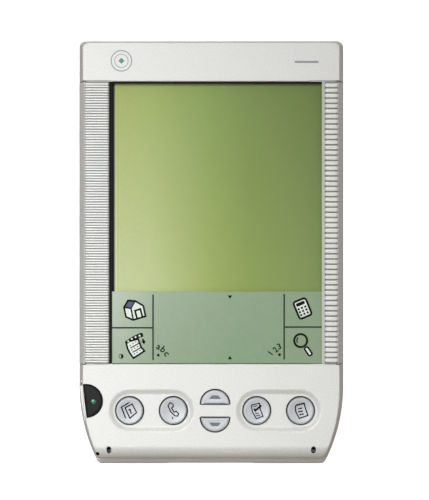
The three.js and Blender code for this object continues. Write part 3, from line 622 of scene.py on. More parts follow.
def patch(outline, height):
    """A filled printed shape."""
    count = len(outline)
    points = [(x, y, height(x, y) + INK_LIFT) for x, y in outline]
    points += [(x, y, height(x, y) - INK_SINK) for x, y in outline]
    faces = [tuple(range(count)), tuple(reversed(range(count, 2 * count)))]
    faces += [(i, i + count, (i + 1) % count + count, (i + 1) % count) for i in range(count)]
    return points, faces


def printed(name, bits, ink, body):
    """Lays printed strokes and patches on a part as one piece."""
    points, faces = [], []
    for bit_points, bit_faces in bits:
        start = len(points)
        points += bit_points
        faces += [tuple(i + start for i in face) for face in bit_faces]
    piece = solid(name, points, faces, reach=0)
    piece.data.materials.append(ink)
    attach(piece, body)
    return piece


def moved(path, centre, turn=0.0, size=1.0):
    c, s = math.cos(math.radians(turn)) * size, math.sin(math.radians(turn)) * size
    return [(centre[0] + x * c - y * s, centre[1] + x * s + y * c) for x, y in path]


def square(x, y, half):
    return [(x - half, y - half), (x + half, y - half), (x + half, y + half), (x - half, y + half)]


def matt(material):
    """Takes most of the gloss off a finish."""
    material.node_tree.nodes["Principled BSDF"].inputs["Specular IOR Level"].default_value = 0.1
    return material


black_ink = matt(grained("black_ink", "#0b100c", "#151b16", 0.7, 0.3, 0.004))
pale_ink = grained("pale_ink", "#cfd8cc", "#dbe2d8", 0.5, 0.3, 0.004)
roof_ink = grained("roof_ink", "#2b3550", "#39445f", 0.5, 0.3, 0.004)
grey_ink = matt(grained("grey_ink", "#28332a", "#354136", 0.7, 0.3, 0.004))


def film(x, y):
    return FILM_TOP_Z


def lowered(x, y):
    return FILM_TOP_Z - LAYER


def raised(x, y):
    return FILM_TOP_Z + LAYER


RULE = 0.44
LINE = 0.52
LAYER = 0.012  # between a pale ground, the black line art on it and the pale studs on that
rules = [
    stroke([(-16.5, -11.95), (-16.5, -30.6)], RULE, film),
    stroke([(20.72, -11.8), (20.72, -30.45)], RULE, film),
    stroke([(-28.1, -21.4), (-16.7, -21.4)], RULE, film),
    stroke([(20.9, -21.2), (32.0, -21.2)], RULE, film),
]
printed("area_rules", rules, grey_ink, "case")

house = [
    (-23.63, -13.65), (-21.55, -13.80), (-19.28, -15.14), (-18.64, -18.12),
    (-22.12, -19.18), (-24.17, -18.33), (-24.74, -15.57),
]
eave = (-22.75, -15.92)
door = [(-21.05, -18.8), (-21.62, -16.56), (-20.13, -16.06), (-19.49, -18.4)]
walls = [patch(house[1:] + [eave], lowered)]
printed("house_walls", walls, pale_ink, "case")
printed("house_roof", [patch([house[0], house[6], eave, house[1]], film)], roof_ink, "case")
lines = [
    stroke(house, LINE, film, closed=True),
    stroke([house[6], eave, house[4]], LINE * 0.8, film),
    stroke([eave, house[1]], LINE * 0.6, film),
    stroke(door, LINE, film),
]

# The menu sheet: a curled page with a dark head, ruled lines, and an arrow that points down at it.
sheet = [
    (-24.17, -25.49), (-23.75, -27.27), (-23.04, -28.68), (-22.05, -30.03),
    (-18.93, -27.98), (-19.85, -26.98), (-20.77, -24.57),
]
head = [
    (-24.31, -25.21), (-22.33, -23.86), (-20.34, -22.94), (-19.56, -22.8),
    (-19.21, -23.86), (-21.05, -24.43), (-22.33, -25.07), (-23.89, -25.99),
]
printed("menu_sheet", [patch(sheet, lowered)], pale_ink, "case")
lines += [stroke(sheet, LINE, film, closed=True), patch(head, film)]
for start, end in (((-22.99, -27.2), (-20.5, -25.8)), ((-22.33, -28.4), (-20.06, -27.06))):
    lines.append(stroke([start, end], 0.3, film))
entries = [
    (-22.97, -26.42), (-22.19, -25.92), (-21.41, -25.42), (-22.54, -27.69), (-21.76, -27.2),
    (-20.91, -26.7), (-21.76, -28.83), (-21.05, -28.33), (-20.2, -27.84),
]
lines += [patch(square(x, y, 0.16), film) for x, y in entries]
lines.append(stroke([(-19.5, -24.6), (-19.05, -25.4)], 0.5, film))
lines.append(patch([(-19.85, -25.3), (-19.0, -26.15), (-18.62, -25.05)], film))
stud_places = ((-23.53, -25.25), (-22.54, -24.57), (-21.48, -24.05), (-20.34, -23.65))
studs = [patch(circle(x, y, 0.27, 12), raised) for x, y in stud_places]
printed("menu_studs", studs, pale_ink, "case")

# Contrast mark, the calculator, the magnifier and the two dots.
CONTRAST = (-25.6, -29.5)
lines.append(stroke(circle(*CONTRAST, 0.62, 24), 0.16, film, closed=True))
lines.append(patch(arc(*CONTRAST, 0.66, -math.pi / 2, math.pi / 2, 12), film))
CALCULATOR = (25.94, -15.92)
TILT = 22.6
frame_line = moved(rounded(-1.88, 1.88, -2.55, 2.55, 0.7), CALCULATOR, TILT)
lines.append(stroke(frame_line, 0.6, film, closed=True))
printed("calculator_face", [patch(frame_line, lowered)], pale_ink, "case")
lines.append(patch(moved(rounded(-1.35, 1.25, 1.0, 1.95, 0.35), CALCULATOR, TILT), film))
for column in (-1.02, 0, 1.02):
    for row in (-0.9, 0, 0.9):
        lines.append(patch(moved(square(column - 0.1, row - 0.68, 0.29), CALCULATOR, TILT), film))
LENS = (25.4, -25.04)
lines.append(stroke(circle(*LENS, 1.84, 40), 0.6, film, closed=True))
lines.append(stroke(arc(*LENS, 1.08, math.radians(130), math.radians(215), 8), 0.34, film))
handle = moved(rounded(-0.55, 0.55, -2.6, 0.0, 0.42), (26.85, -27.0), 34)
lines.append(stroke(handle, 0.5, film, closed=True))
printed("handle_face", [patch(handle, lowered)], pale_ink, "case")
lines += [patch(circle(x, y, 0.4, 20), film) for x, y in ((-15.03, -29.18), (19.40, -29.04))]
lines.append(patch([(4.7, -12.2), (5.96, -12.2), (5.33, -13.2)], film))
lines.append(patch([(4.7, -30.35), (5.33, -29.35), (5.96, -30.35)], film))
printed("area_line_art", lines, black_ink, "case")


CHARACTER_THICK = 0.05
CHARACTER_BOLD = 0.055  # how far each outline is let out


def character(name, text, centre, turn, size):
    """One printed character as a thin solid."""
    curve = bpy.data.curves.new(name, "FONT")
    curve.body = text
    curve.size = size * MM
    curve.align_x = "CENTER"
    curve.align_y = "CENTER"
    curve.extrude = CHARACTER_THICK / 2 * MM
    curve.offset = CHARACTER_BOLD * MM
    curve.resolution_u = 4
    draft = placed(name, curve)
    mesh = evaluated(draft)
    bpy.data.objects.remove(draft)
    middle = sum((v.co for v in mesh.vertices), Vector()) / len(mesh.vertices)
    flat = [(v.co.x - middle.x, v.co.y - middle.y) for v in mesh.vertices]
    for v, (x, y) in zip(mesh.vertices, moved(flat, (centre[0] * MM, centre[1] * MM), turn)):
        v.co = Vector((x, y, v.co.z + (FILM_TOP_Z - 0.005) * MM))
    cleaned(mesh, 1e-8)
    mesh.materials.clear()
    mesh.materials.append(black_ink)
    piece = placed(name, mesh)
    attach(piece, "case")


letters = (("a", (-15.05, -27.1), -24), ("b", (-13.75, -27.7), -40), ("c", (-12.7, -28.95), -58))
for text, centre, turn in letters:
    character("letter_" + text, text, centre, turn, 2.6)
digits = (("1", (16.8, -28.6), 56), ("2", (18.1, -27.5), 42), ("3", (19.3, -26.65), 24))
for text, centre, turn in digits:
    character("digit_" + text, text, centre, turn, 2.3)

# -------------------- screen gasket
# A die-cut ring of black closed-cell foam between the front shell and the touch panel.
black_foam = grained("black_foam", "#0b0d0b", "#151814", 0.9, 0.35, 0.05)
coat(black_foam, "screen_gasket")

# -------------------- front shell
# The front half of the case: moulded ABS in the same silver paint, with flanks that lean in, a rolled lower
# edge, the screen window, the seats of the side grips and the holes for the keys.
FACE_Z = 17.4
INSIDE_Z = 15.9
WINDOW = {"x0": -28.9, "x1": 32.15, "y0": -31.6, "y1": 48.4}
GRIP_GAP = 0.28
KEYS = {"x": 1.1, "y": -44.8, "pair": 18.0, "half_pitch": 6.2}
KEY_HOLE_RADIUS = 4.14
DISH_FLOOR_Z = 16.8
POWER = (-35.4, -42.05)
ROLL_Z = 16.75  # the flanks turn over into the face above this
SOCKET = (1.0, 0.64)  # half the height and half the width of a hinge socket for a screen cover
SOCKET_X = 28.95
SOCKET_Y = -55.9
MICROPHONE = (-32.2, -57.1)
CHIN_Z = 11.6  # the lower edge rolls over into the face above this


def front_skin(z):
    """How far the front's skin is pulled in at a height."""
    rise = min(z, ROLL_Z) - SEAM_Z
    edge = 1 - math.sqrt(max(0.0, 1 - ((max(z, ROLL_Z) - ROLL_Z) / (FACE_Z - ROLL_Z)) ** 2))
    side = 0.5 + rise / 7.25 * 1.25 + 0.4 * edge
    top = 0.4 + rise / 7.25 * 0.95 + 0.35 * edge
    chin = 1 - math.sqrt(max(0.0, 1 - ((max(z, CHIN_Z) - CHIN_Z) / (FACE_Z - CHIN_Z)) ** 2))
    bottom = 1.7 + (min(z, CHIN_Z) - SEAM_Z) * 0.1 + 4.2 * chin
    return (z, side, top, bottom)


front_levels = [SEAM_Z, 10.6]
front_levels += [CHIN_Z + (FACE_Z - CHIN_Z) * math.sin(math.radians(t)) for t in range(0, 61, 5)]
front_levels += [16.75, 16.9, 17.03, 17.14, 17.23, 17.3, 17.35, 17.385, FACE_Z]
front = case_loft("front_case", [front_skin(z) for z in front_levels])
front_inside = [(8.5, 2.6, 2.0, 3.3), (12.4, 2.9, 2.2, 3.5), (14.4, 3.1, 2.4, 4.2), (INSIDE_Z, 3.5, 2.7, 6.2)]
combine(front, [case_loft("room_inside", front_inside)])


def half_moon(grow, sign):
    """A scroll key's outline: a flat side towards the other key, a round side away from it."""
    half, high = 4.4, 4.55
    radius = (half**2 + high**2) / (2 * high)
    spread = math.asin((half - 0.35) / radius)
    outline = [(-half + 0.5 - grow, -grow), (half - 0.5 + grow, -grow), (half + grow, 0.3)]
    outline += arc(0, high - radius, radius + grow, math.pi / 2 - spread, math.pi / 2 + spread, 28)
    outline.append((-half - grow, 0.3))
    outline = [(KEYS["x"] + x, KEYS["y"] + sign * (1.65 + y)) for x, y in outline]
    return outline if sign > 0 else outline[::-1]


def power_outline(grow, radius=4.8, flat=-35.8):
    """The power key's outline: a disc cut off along the side of the case."""
    lean = 0.115
    outline = circle(*POWER, radius + grow, 72)
    return [(max(x, flat - grow + lean * (POWER[1] - y)), y) for x, y in outline]


def stadium(x, y, half_length, half_height, steps=16):
    run = half_length - half_height
    right = arc(x + run, y, half_height, -math.pi / 2, math.pi / 2, steps)
    return right + arc(x - run, y, half_height, math.pi / 2, 3 * math.pi / 2, steps)


# The guard: a low wall on the outer side of the power key.
guard = [(-36.1, -46.2), (-34.9, -46.6), (-35.6, -37.4), (-37.12, -37.8), (-37.1, -39.0), (-36.85, -42.0)]
guard_levels = ((0, 12.0), (0, 16.9), (0.12, 17.05))
guard_rings = [flat_ring([(x + lean, y) for x, y in guard], z) for lean, z in guard_levels]
combine(front, [loft("guard", guard_rings)], "UNION")

cuts = [
    rounded_well("window", WINDOW["x0"], WINDOW["x1"], WINDOW["y0"], WINDOW["y1"], 0.02, 15, FACE_Z, 0.25),
    well("power_hole", power_outline, 14, FACE_Z, 0.12),
    prism("power_room", power_outline(1.1), 13.5, INSIDE_Z),
    rod("microphone_hole", *MICROPHONE, 13, 19, 0.55, 20),
]
for side in (-1, 1):
    seat = [(28.0, 16.65), (35.4, 16.65), (36.0, 15.6), (37.0, 8.5), (40.5, 8.5), (40.5, 19), (28.0, 19)]
    seat = [(x * side, z) for x, z in seat]
    cuts.append(bar("seat", seat, "Y", WINDOW["y0"] - GRIP_GAP, WINDOW["y1"] + GRIP_GAP))
combine(front, cuts)

dishes = []
for side in (-1, 1):
    x, y = KEYS["x"] + side * KEYS["pair"], KEYS["y"]
    rings = []
    for i in range(13):
        t = i / 12
        out = -1.45 + 1.75 * t
        z = DISH_FLOOR_Z + 0.604 * (t * t * (3 - 2 * t))
        rings.append(flat_ring(stadium(x, y, 12.0 + out, 5.9 + out), z))
    rings.append(flat_ring(stadium(x, y, 12.3, 6.2), FACE_Z + 1))
    dishes.append(loft("dish", rings))
combine(front, dishes)

holes = []
key_centres = {
    "date_book": KEYS["x"] - KEYS["pair"] - KEYS["half_pitch"],
    "address_book": KEYS["x"] - KEYS["pair"] + KEYS["half_pitch"],
    "to_do_list": KEYS["x"] + KEYS["pair"] - KEYS["half_pitch"],
    "memo_pad": KEYS["x"] + KEYS["pair"] + KEYS["half_pitch"],
}
for x in key_centres.values():
    holes.append(round_well("key_hole", x, KEYS["y"], KEY_HOLE_RADIUS, 15, DISH_FLOOR_Z, 0.1))
for sign in (-1, 1):
    holes.append(well("scroll_hole", lambda grow, s=sign: half_moon(grow, s), 15, FACE_Z, 0.1))
    socket = moved(stadium(0, 0, *SOCKET, 12), (sign * SOCKET_X, SOCKET_Y), 90)
    holes.append(prism("cover_socket", socket, 12.5, 19))
combine(front, holes)
smooth(front, 28)


def two_finishes(piece, main, second, chosen):
    """Puts the second finish on the faces whose middle, in millimetres, is chosen, and the main one on the rest."""
    piece.data.materials.clear()
    piece.data.materials.append(main)
    piece.data.materials.append(second)
    for face in piece.data.polygons:
        face.material_index = int(chosen(face.center / MM))


def shaded_small_hole(middle):
    """The walls of the cover sockets and of the microphone hole, finished near-black as painted shade inside the
    holes.
    """
    socket = abs(abs(middle.x) - SOCKET_X) < SOCKET[1] + 0.01 and abs(middle.y - SOCKET_Y) < SOCKET[0] + 0.01
    return socket or math.dist(middle.xy, MICROPHONE) < 0.56


# The walls of the small holes take the black foam finish as painted shade.
two_finishes(front, silver_paint, black_foam, shaded_small_hole)
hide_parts("front_shell")
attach(front, "case")

# A small ring emblem and a short bar, tampo-printed in grey and green on the face above the screen.
mark_ink = grained("mark_ink", "#7b8288", "#8d949a", 0.4, 0.3, 0.004)
green_ink = grained("green_ink", "#1d6f5c", "#2a806b", 0.4, 0.3, 0.004)


def face(x, y):
    return FACE_Z


EMBLEM = (-25.4, 54.2)
rings = ((2.9, 48, 0.32), (1.9, 40, 0.22))
emblem = [stroke(circle(*EMBLEM, radius, steps), width, face, closed=True) for radius, steps, width in rings]
printed("emblem_rings", emblem, mark_ink, "case")
heart = patch(moved(square(0, 0, 0.62), EMBLEM, 45), face)
printed("emblem_heart", [heart], green_ink, "case")
printed("face_bar", [patch(rounded(23.6, 30.4, 53.6, 54.2, 0.28), face)], mark_ink, "case")

# -------------------- side grips
# Two separately moulded ABS angles that clip over rails on the front shell. Each is crossed by 54 raised ribs
# with round ends, which run from the edge of the screen over the shoulder and down the flank.
RIB_COUNT = 54
RIB_PITCH = (WINDOW["y1"] - WINDOW["y0"]) / (RIB_COUNT + 0.5)
SHOULDER_X = 35.25  # here the ribs start to turn down
FLANK_X = 35.85  # and beyond here they run down the flank
RIB_ON_FLANK = 0.12  # how far the ribs stand out of the flank, where they all but run out
GROOVE_Z = 17.12
LAND_Z = 17.6

repeat = bpy.data.node_groups.new("repeat_along_line", "GeometryNodeTree")
SOCKETS = {}
for label, kind in (
    ("Count", "NodeSocketInt"),
    ("Start", "NodeSocketVector"),
    ("Step", "NodeSocketVector"),
    ("Shape", "NodeSocketObject"),
    ("Finish", "NodeSocketMaterial"),
):
    SOCKETS[label] = repeat.interface.new_socket(name=label, in_out="INPUT", socket_type=kind).identifier
repeat.interface.new_socket(name="Geometry", in_out="OUTPUT", socket_type="NodeSocketGeometry")
given = add(repeat, "NodeGroupInput")
given = given.outputs
ends = {"Count": given["Count"], "Start Location": given["Start"], "Offset": given["Step"]}
line = add(repeat, "GeometryNodeMeshLine", inputs=ends).outputs[0]
shape = add(repeat, "GeometryNodeObjectInfo", inputs={"Object": given["Shape"]}).outputs["Geometry"]
copies = add(repeat, "GeometryNodeInstanceOnPoints", inputs={"Points": line, "Instance": shape}).outputs[0]
made = add(repeat, "GeometryNodeRealizeInstances", inputs={0: copies}).outputs[0]
coated = add(repeat, "GeometryNodeSetMaterial", inputs={"Geometry": made, "Material": given["Finish"]})
add(repeat, "NodeGroupOutput", inputs={"Geometry": coated.outputs[0]})


def repeated(name, shape, count, start, step, finish):
    """Copies a shape along a line and returns the row as one plain mesh. Places are in millimetres."""
    row = placed(name, bpy.data.meshes.new(name))
    tool = row.modifiers.new("repeat", "NODES")
    tool.node_group = repeat
    tool[SOCKETS["Count"]] = count
    tool[SOCKETS["Start"]] = [v * MM for v in start]
    tool[SOCKETS["Step"]] = [v * MM for v in step]
    tool[SOCKETS["Shape"]] = shape
    tool[SOCKETS["Finish"]] = finish
    settle(row)
    bpy.data.objects.remove(shape)
    return row


def joined(name, pieces):
    """Puts several meshes into one piece, each with its own materials."""
    shape = bmesh.new()
    finishes = []
    for piece in pieces:
        finishes += [finish for finish in piece.data.materials if finish not in finishes]
        start = len(shape.faces)
        shape.from_mesh(piece.data)
        shape.faces.ensure_lookup_table()
        for i in range(start, len(shape.faces)):
            own = piece.data.materials[shape.faces[i].material_index]
            shape.faces[i].material_index = finishes.index(own)
    mesh = bpy.data.meshes.new(name)
    shape.to_mesh(mesh)
    shape.free()
    for finish in finishes:
        mesh.materials.append(finish)
    for piece in pieces:
        bpy.data.objects.remove(piece)
    return placed(name, mesh)


def rib(name, path, half_width, height, flank_height):
    """One rib: a rounded bar that follows a path of (x, z) points, with round ends."""
    travel = [0.0]
    for a, b in zip(path, path[1:]):
        travel.append(travel[-1] + math.dist(a, b))
    rings = []
    for i, (x, z) in enumerate(path):
        a, b = path[max(0, i - 1)], path[min(len(path) - 1, i + 1)]
        way = Vector((b[0] - a[0], b[1] - a[1])).normalized()
        out = Vector((-way.y, way.x))
        ends = min(travel[i], travel[-1] - travel[i]) / 0.55
        swell = math.sqrt(max(0.0, 1 - (1 - min(1.0, ends)) ** 2))
        down = min(1.0, max(0.0, (abs(x) - 35.3) / 0.9))
        wide = half_width * (0.25 + 0.75 * swell)
        tall = (height + (flank_height - height) * down) * (0.1 + 0.9 * swell)
        section = [(-1.0, -0.25), (-1.0, 0.55), (-0.93, 0.88), (-0.76, 1.0)]
        section += [(-u, v) for u, v in reversed(section)]
        ring = []
        for u, v in section:
            lift = tall * v if v > 0 else -0.12
            ring.append((x + out.x * lift, u * wide, z + out.y * lift))
        rings.append(ring)
    return loft(name, rings)


# The grip floor between the ribs takes a darker copy of the silver paint as painted shade; the ribs and the flanks
# take the grip paint.
groove_shade_paint = silver("groove_shade_paint", "#6e6e6a", "#85857f", nicks=False)
grip_paint = silver("grip_paint", "#d0d0cc", "#e4e4e0", nicks=False)
# The left ribs are split down the middle into two beads. The right ones are whole.
left_grip = ("left", -1, -WINDOW["x0"], 0.245, (-0.345, 0.345))
right_grip = ("right", 1, WINDOW["x1"], 0.55, (0.0,))
for name, side, inner, half_width, beads in (left_grip, right_grip):
    shoulder = [(SHOULDER_X, GROOVE_Z), (35.55, 17.03), (35.8, 16.83), (36.02, 16.45), (36.38, 15.6)]
    skin = [(inner, 16.75), (35.3, 16.75), (35.9, 15.7), (36.95, 9.65), (37.78, 9.65), (37.3, 12.5)]
    skin += shoulder[::-1] + [(inner + 0.25, GROOVE_Z), (inner, GROOVE_Z - 0.2)]
    skin = [(x * side, z) for x, z in skin]
    base = bar("grip_skin", skin, "Y", WINDOW["y0"], WINDOW["y1"])
    smooth(base)
    # Painted shade on the floor between the ribs, grip paint on the flanks.
    two_finishes(base, groove_shade_paint, grip_paint, lambda middle: abs(middle.x) > FLANK_X)
    path = [(inner + 0.05 + 0.11 * i, GROOVE_Z - 0.10 * (1 - min(1, i / 3)) ** 2) for i in range(6)]
    path += [(inner + 1.5, GROOVE_Z), ((inner + SHOULDER_X) / 2, GROOVE_Z)] + shoulder
    path += [(37.3, 12.5), (37.6, 10.8), (37.7, 10.2), (37.73, 10.0), (37.75, 9.85), (37.77, 9.72)]
    path = [(x * side, z) for x, z in path]
    if side < 0:
        path.reverse()
    rows = []
    for offset in beads:
        shape = rib("rib", path, half_width, LAND_Z - GROOVE_Z, RIB_ON_FLANK)
        smooth(shape, 34)
        start = (0, WINDOW["y0"] + 0.75 * RIB_PITCH + offset, 0)
        rows.append(repeated("ribs", shape, RIB_COUNT, start, (0, RIB_PITCH, 0), grip_paint))
    parts = rows + [base]
    if side > 0:  # a pale sloped edge beside the screen
        reveal = [(-0.75, 16.0), (-0.03, 16.0), (-0.03, 16.85), (-0.2, 16.75), (-0.75, 16.15)]
        reveal = [(inner + x, z) for x, z in reveal]
        parts.append(bar("reveal", reveal, "Y", WINDOW["y0"] + 0.1, WINDOW["y1"] - 0.1))
        parts[-1].data.materials.append(silver_paint)
    grip = joined(name + "_grip", parts)
    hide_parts(name + "_side_grip")
    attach(grip, "case")

# -------------------- round keys
# Four moulded caps with a metallised, lightly dished top, a round edge, a flange that keeps each in the
# case and a plunger over its dome. A small picture is printed on each: a calendar, a telephone, a checklist
# and a notepad.


def turned(name, profile, centre, steps=56, axis="Z"):
    """A solid of revolution. The profile is (radius, distance along the axis), from pole to pole."""
    rings = []
    for radius, along in profile:
        ring = []
        for a in range(steps):
            angle = 2 * math.pi * a / steps
            u, v = radius * math.cos(angle), radius * math.sin(angle)
            if axis == "Z":
                ring.append((centre[0] + u, centre[1] + v, along))
            elif axis == "Y":
                ring.append((centre[0] + u, along, centre[1] + v))
            else:
                ring.append((along, centre[0] + u, centre[1] + v))
        rings.append(ring)
    return loft(name, rings)


CAP_RADIUS = 3.78
PLUNGER_RADIUS = 1.2
PLUNGER_Z = 14.15  # the foot of the plunger, over the dome
FLANGE_Z = 15.0
FLANGE_TOP_Z = 15.8
FLANGE_REACH = 0.8  # beyond the sides of the scroll and power caps
SKIRT_Z = 17.25  # the caps are metallised above this, and black below: partly the bare moulding, partly painted shade in the gap round each cap
PICTURE_WIDTH = 1.4  # how much bolder than drawn the pictures are printed


def cap_height(x, y, cx, cy):
    """The dished top of a round cap, low in the middle and high at the rim."""
    share_out = min(1.0, math.hypot(x - cx, y - cy) / 3.3)
    return 17.44 + 0.34 * share_out**2


key_silver = silver("key_silver", "#aeb1b3", "#c2c5c8", roughness=0.48, metallic=0.16, nicks=False)


# Faces below SKIRT_Z take black as painted shade in the gap round each cap, and for the bare moulding as well.
def shaded_skirt(middle):
    return middle.z < SKIRT_Z


handset = [
    (-0.92, 2.34), (-0.07, 1.81), (0.0, 1.2), (-0.5, 0.72), (0.22, -0.4), (0.82, -0.12),
    (1.5, -0.84), (1.2, -1.5), (0.41, -1.38), (-0.8, -0.24), (-1.5, 1.45),
]
checklist = [
    (-1.43, 1.63), (0.72, 2.15), (0.98, 0.43), (1.75, -1.55),
    (-0.14, -2.24), (-1.2, -0.34), (-1.5, 1.29),
]
notepad = [
    (-1.5, 1.2), (-1.15, 1.63), (1.0, 2.15), (1.34, 0.77),
    (2.05, -1.3), (-0.38, -2.15), (-1.36, -0.26),
]
pictures = {  # paths with their widths, and whether they close
    "date_book": [
        ([(-1.25, 0.84), (0.72, 1.93), (2.0, -0.48), (0.12, -2.1)], 0.25, True),
        ([(0.0, 2.41), (-2.29, 1.04), (-1.08, -2.1)], 0.25, False),
        ([(-0.3, 0.1), (0.15, 0.42), (0.52, -0.9)], 0.26, False),
    ],
    "address_book": [
        (handset, 0.24, True),
        ([(-0.05, -1.72), (-0.35, -1.9), (-0.1, -2.12), (-0.38, -2.36)], 0.16, False),
    ],
    "to_do_list": [
        (checklist, 0.24, True),
        ([(-0.75, 0.62), (-0.42, 0.02), (1.3, 1.55)], 0.40, False),
        ([(-1.02, 1.12), (0.2, 1.46)], 0.18, False),
        ([(-0.48, -0.86), (0.55, -0.64)], 0.2, False),
        ([(-0.22, -1.46), (0.98, -1.2)], 0.2, False),
    ],
    "memo_pad": [
        (notepad, 0.26, True),
        ([(-0.64, 0.52), (0.4, 0.77)], 0.26, False),
        ([(-0.72, -0.34), (0.65, -0.09)], 0.26, False),
        ([(-0.29, -1.12), (0.91, -0.86)], 0.26, False),
        ([(-0.85, 1.35), (-0.8, 1.95)], 0.18, False),
        ([(-0.25, 1.5), (-0.2, 2.1)], 0.18, False),
        ([(0.35, 1.65), (0.4, 2.25)], 0.18, False),
    ],
}
for name, x in key_centres.items():
    y = KEYS["y"]
    profile = [(0, PLUNGER_Z), (1.1, PLUNGER_Z), (PLUNGER_RADIUS, 14.25), (PLUNGER_RADIUS, FLANGE_Z)]
    profile += [(4.6, FLANGE_Z), (4.7, 15.1), (4.7, 15.7), (4.6, FLANGE_TOP_Z)]
    profile += [(CAP_RADIUS, FLANGE_TOP_Z), (CAP_RADIUS, SKIRT_Z), (3.75, 17.45), (3.68, 17.6), (3.57, 17.71)]
    profile += [(3.42, 17.77), (3.3, 17.78)]
    profile += [(r, cap_height(x + r, y, x, y)) for r in (3.0, 2.6, 2.1, 1.5, 0.8, 0)]
    key = turned(name + "_cap", profile, (x, y))
    smooth(key, 40)
    two_finishes(key, key_silver, black_abs, shaded_skirt)
    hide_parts(name + "_button")
    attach(key, name + "_key")

    def on_cap(px, py, cx=x, cy=y):
        return cap_height(px, py, cx, cy)

    bits = []
    for path, width, closed in pictures[name]:
        bits.append(stroke(moved(path, (x, y)), width * PICTURE_WIDTH, on_cap, closed))
    printed(name + "_picture", bits, black_ink, name + "_key")

# -------------------- scroll keys
# Two half-moon caps, moulded like the round keys, crowned along their length and printed with a soft grey
# wedge.


MOON_GAP = 0.34  # between a cap and its hole
MOON_TOP_Z = 17.60


def moon_cap(grow, sign):
    """A scroll cap's outline."""
    return half_moon(grow - MOON_GAP, sign)


def moon_top(x, y):
    return MOON_TOP_Z + 0.03 * min(1.0, abs(x - KEYS["x"]) / 3)


wedge_ink = matt(grained("wedge_ink", "#6c6e6e", "#7d8080", 0.6, 0.5, 0.004))
for name, sign in (("scroll_up", 1), ("scroll_down", -1)):
    levels = [(FLANGE_REACH, FLANGE_Z), (FLANGE_REACH, FLANGE_TOP_Z), (0.0, FLANGE_TOP_Z), (0.0, 17.3)]
    levels += [(-0.05, 17.45), (-0.15, 17.58), (-0.3, 17.66), (-0.5, 17.69)]
    rings = [flat_ring(moon_cap(grow, sign), z) for grow, z in levels]
    centre = (KEYS["x"], KEYS["y"] + sign * 3.6)
    rim = moon_cap(-0.5, sign)
    for inward, z in ((0.3, 17.66), (0.6, 17.61), (0.9, 17.58)):
        rings.append([(x + (centre[0] - x) * inward, y + (centre[1] - y) * inward, z) for x, y in rim])
    key = loft(name + "_cap", rings)
    plunger = rod("plunger", KEYS["x"], KEYS["y"] + sign * 3.65, PLUNGER_Z, FLANGE_Z + 0.2, PLUNGER_RADIUS)
    combine(key, [plunger], "UNION")
    smooth(key, 40)
    # Black below SKIRT_Z as painted shade in the gap round the cap.
    two_finishes(key, key_silver, black_abs, shaded_skirt)
    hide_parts(name + "_button")
    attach(key, name + "_key")
    wedge = [(-1.7, 2.35), (1.7, 2.35), (0.9, 3.35), (-0.9, 3.35)]
    wedge = [(KEYS["x"] + x, KEYS["y"] + sign * (y + 1.0)) for x, y in wedge]
    printed(name + "_wedge", [patch(wedge, moon_top)], wedge_ink, name + "_key")

# -------------------- power key
# A D-shaped cap of black ABS with a stippled top, and a small clear green light guide set into it.
key_black = grained("stippled_abs", "#050706", "#1d2220", 0.62, 0.42, 0.09)
key_black.node_tree.nodes["Principled BSDF"].inputs["Specular IOR Level"].default_value = 0.25
LIGHT = (-33.3, -42.2)
LIGHT_SEAT_Z = 17.3
levels = [(FLANGE_REACH, FLANGE_Z), (FLANGE_REACH, FLANGE_TOP_Z), (0.0, FLANGE_TOP_Z), (0.0, 17.2)]
levels += [(-0.08, 17.38), (-0.22, 17.5), (-0.45, 17.56), (-0.8, 17.6)]
rings = [flat_ring(power_outline(grow - 0.24), z) for grow, z in levels]
power = loft("power_cap", rings)
plunger = rod("plunger", -32.4, POWER[1], PLUNGER_Z, FLANGE_Z + 0.2, PLUNGER_RADIUS)
combine(power, [plunger], "UNION")
combine(power, [rod("guide_seat", *LIGHT, LIGHT_SEAT_Z, 18.5, 0.75)])
smooth(power, 40)
power.data.materials.clear()
power.data.materials.append(key_black)
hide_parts("power_button")
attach(power, "power_key")
profile = [(0, 17.32), (0.7, 17.32), (0.7, 17.6), (0.5, 17.68), (0.25, 17.71), (0, 17.72)]
guide = turned("power_light_guide", profile, LIGHT, 32)
smooth(guide, 60)
guide.data.materials.append(grained("green_acrylic", "#0f5a43", "#1f8a66", 0.15, 0.5, 0.005))
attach(guide, "power_key")

# -------------------- infrared window
# A filter of dark red acrylic, moulded with a low crown, which snaps into the left side of the case.
dark_acrylic = grained("dark_acrylic", "#1a0d12", "#241219", 0.08, 1.5, 0.002)
window = prism("infrared_filter", rounded(18.3, 29.7, 4.9, 8.1, 0.7), 36.3, 37.75)
for point in window.data.vertices:
    point.co = Vector((-point.co.z, point.co.x, point.co.y))
bevelled(window, 0.35, 4)
smooth(window)
window.data.materials.append(dark_acrylic)
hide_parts("infrared_window")
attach(window, "case")

# -------------------- cradle connector
# A black glass-filled nylon housing soldered to the board. Eight gold-plated springs lie in its grooves,
# with a bend at the foot of each, and meet the pins of the cradle.
coat(black_abs, "cradle_connector")
gold_plate = grained("gold_plate", "#b98f3e", "#d3ab57", 0.25, 0.6, 0.004, 1.0)
GROOVE_PITCH = 2.5
FIRST_GROOVE_X = -8.75
section = [(-59.62, 6.6), (-59.62, 4.0), (-59.9, 4.0), (-60.12, 4.6), (-60.12, 5.6), (-59.85, 6.6)]
spring = bar("spring", section, "X", -0.5, 0.5)
bevelled(spring, 0.06, 2)
smooth(spring, 50)
springs = repeated("cradle_springs", spring, 8, (FIRST_GROOVE_X, 0, 0), (GROOVE_PITCH, 0, 0), gold_plate)
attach(springs, "case")

# -------------------- label
# A strip of silver polyester stuck in its bed on the back, with a printed border and two rules, and no
# lettering.
LABEL_Z = 0.06
label = prism("back_label", rounded(-23.8, 9.8, -8.3, 0.3, 1.0), LABEL_Z, 0.17)
label.data.materials.append(grained("silver_polyester", "#b4b6b6", "#c2c4c4", 0.3, 0.9, 0.004, 0.6))
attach(label, "case")


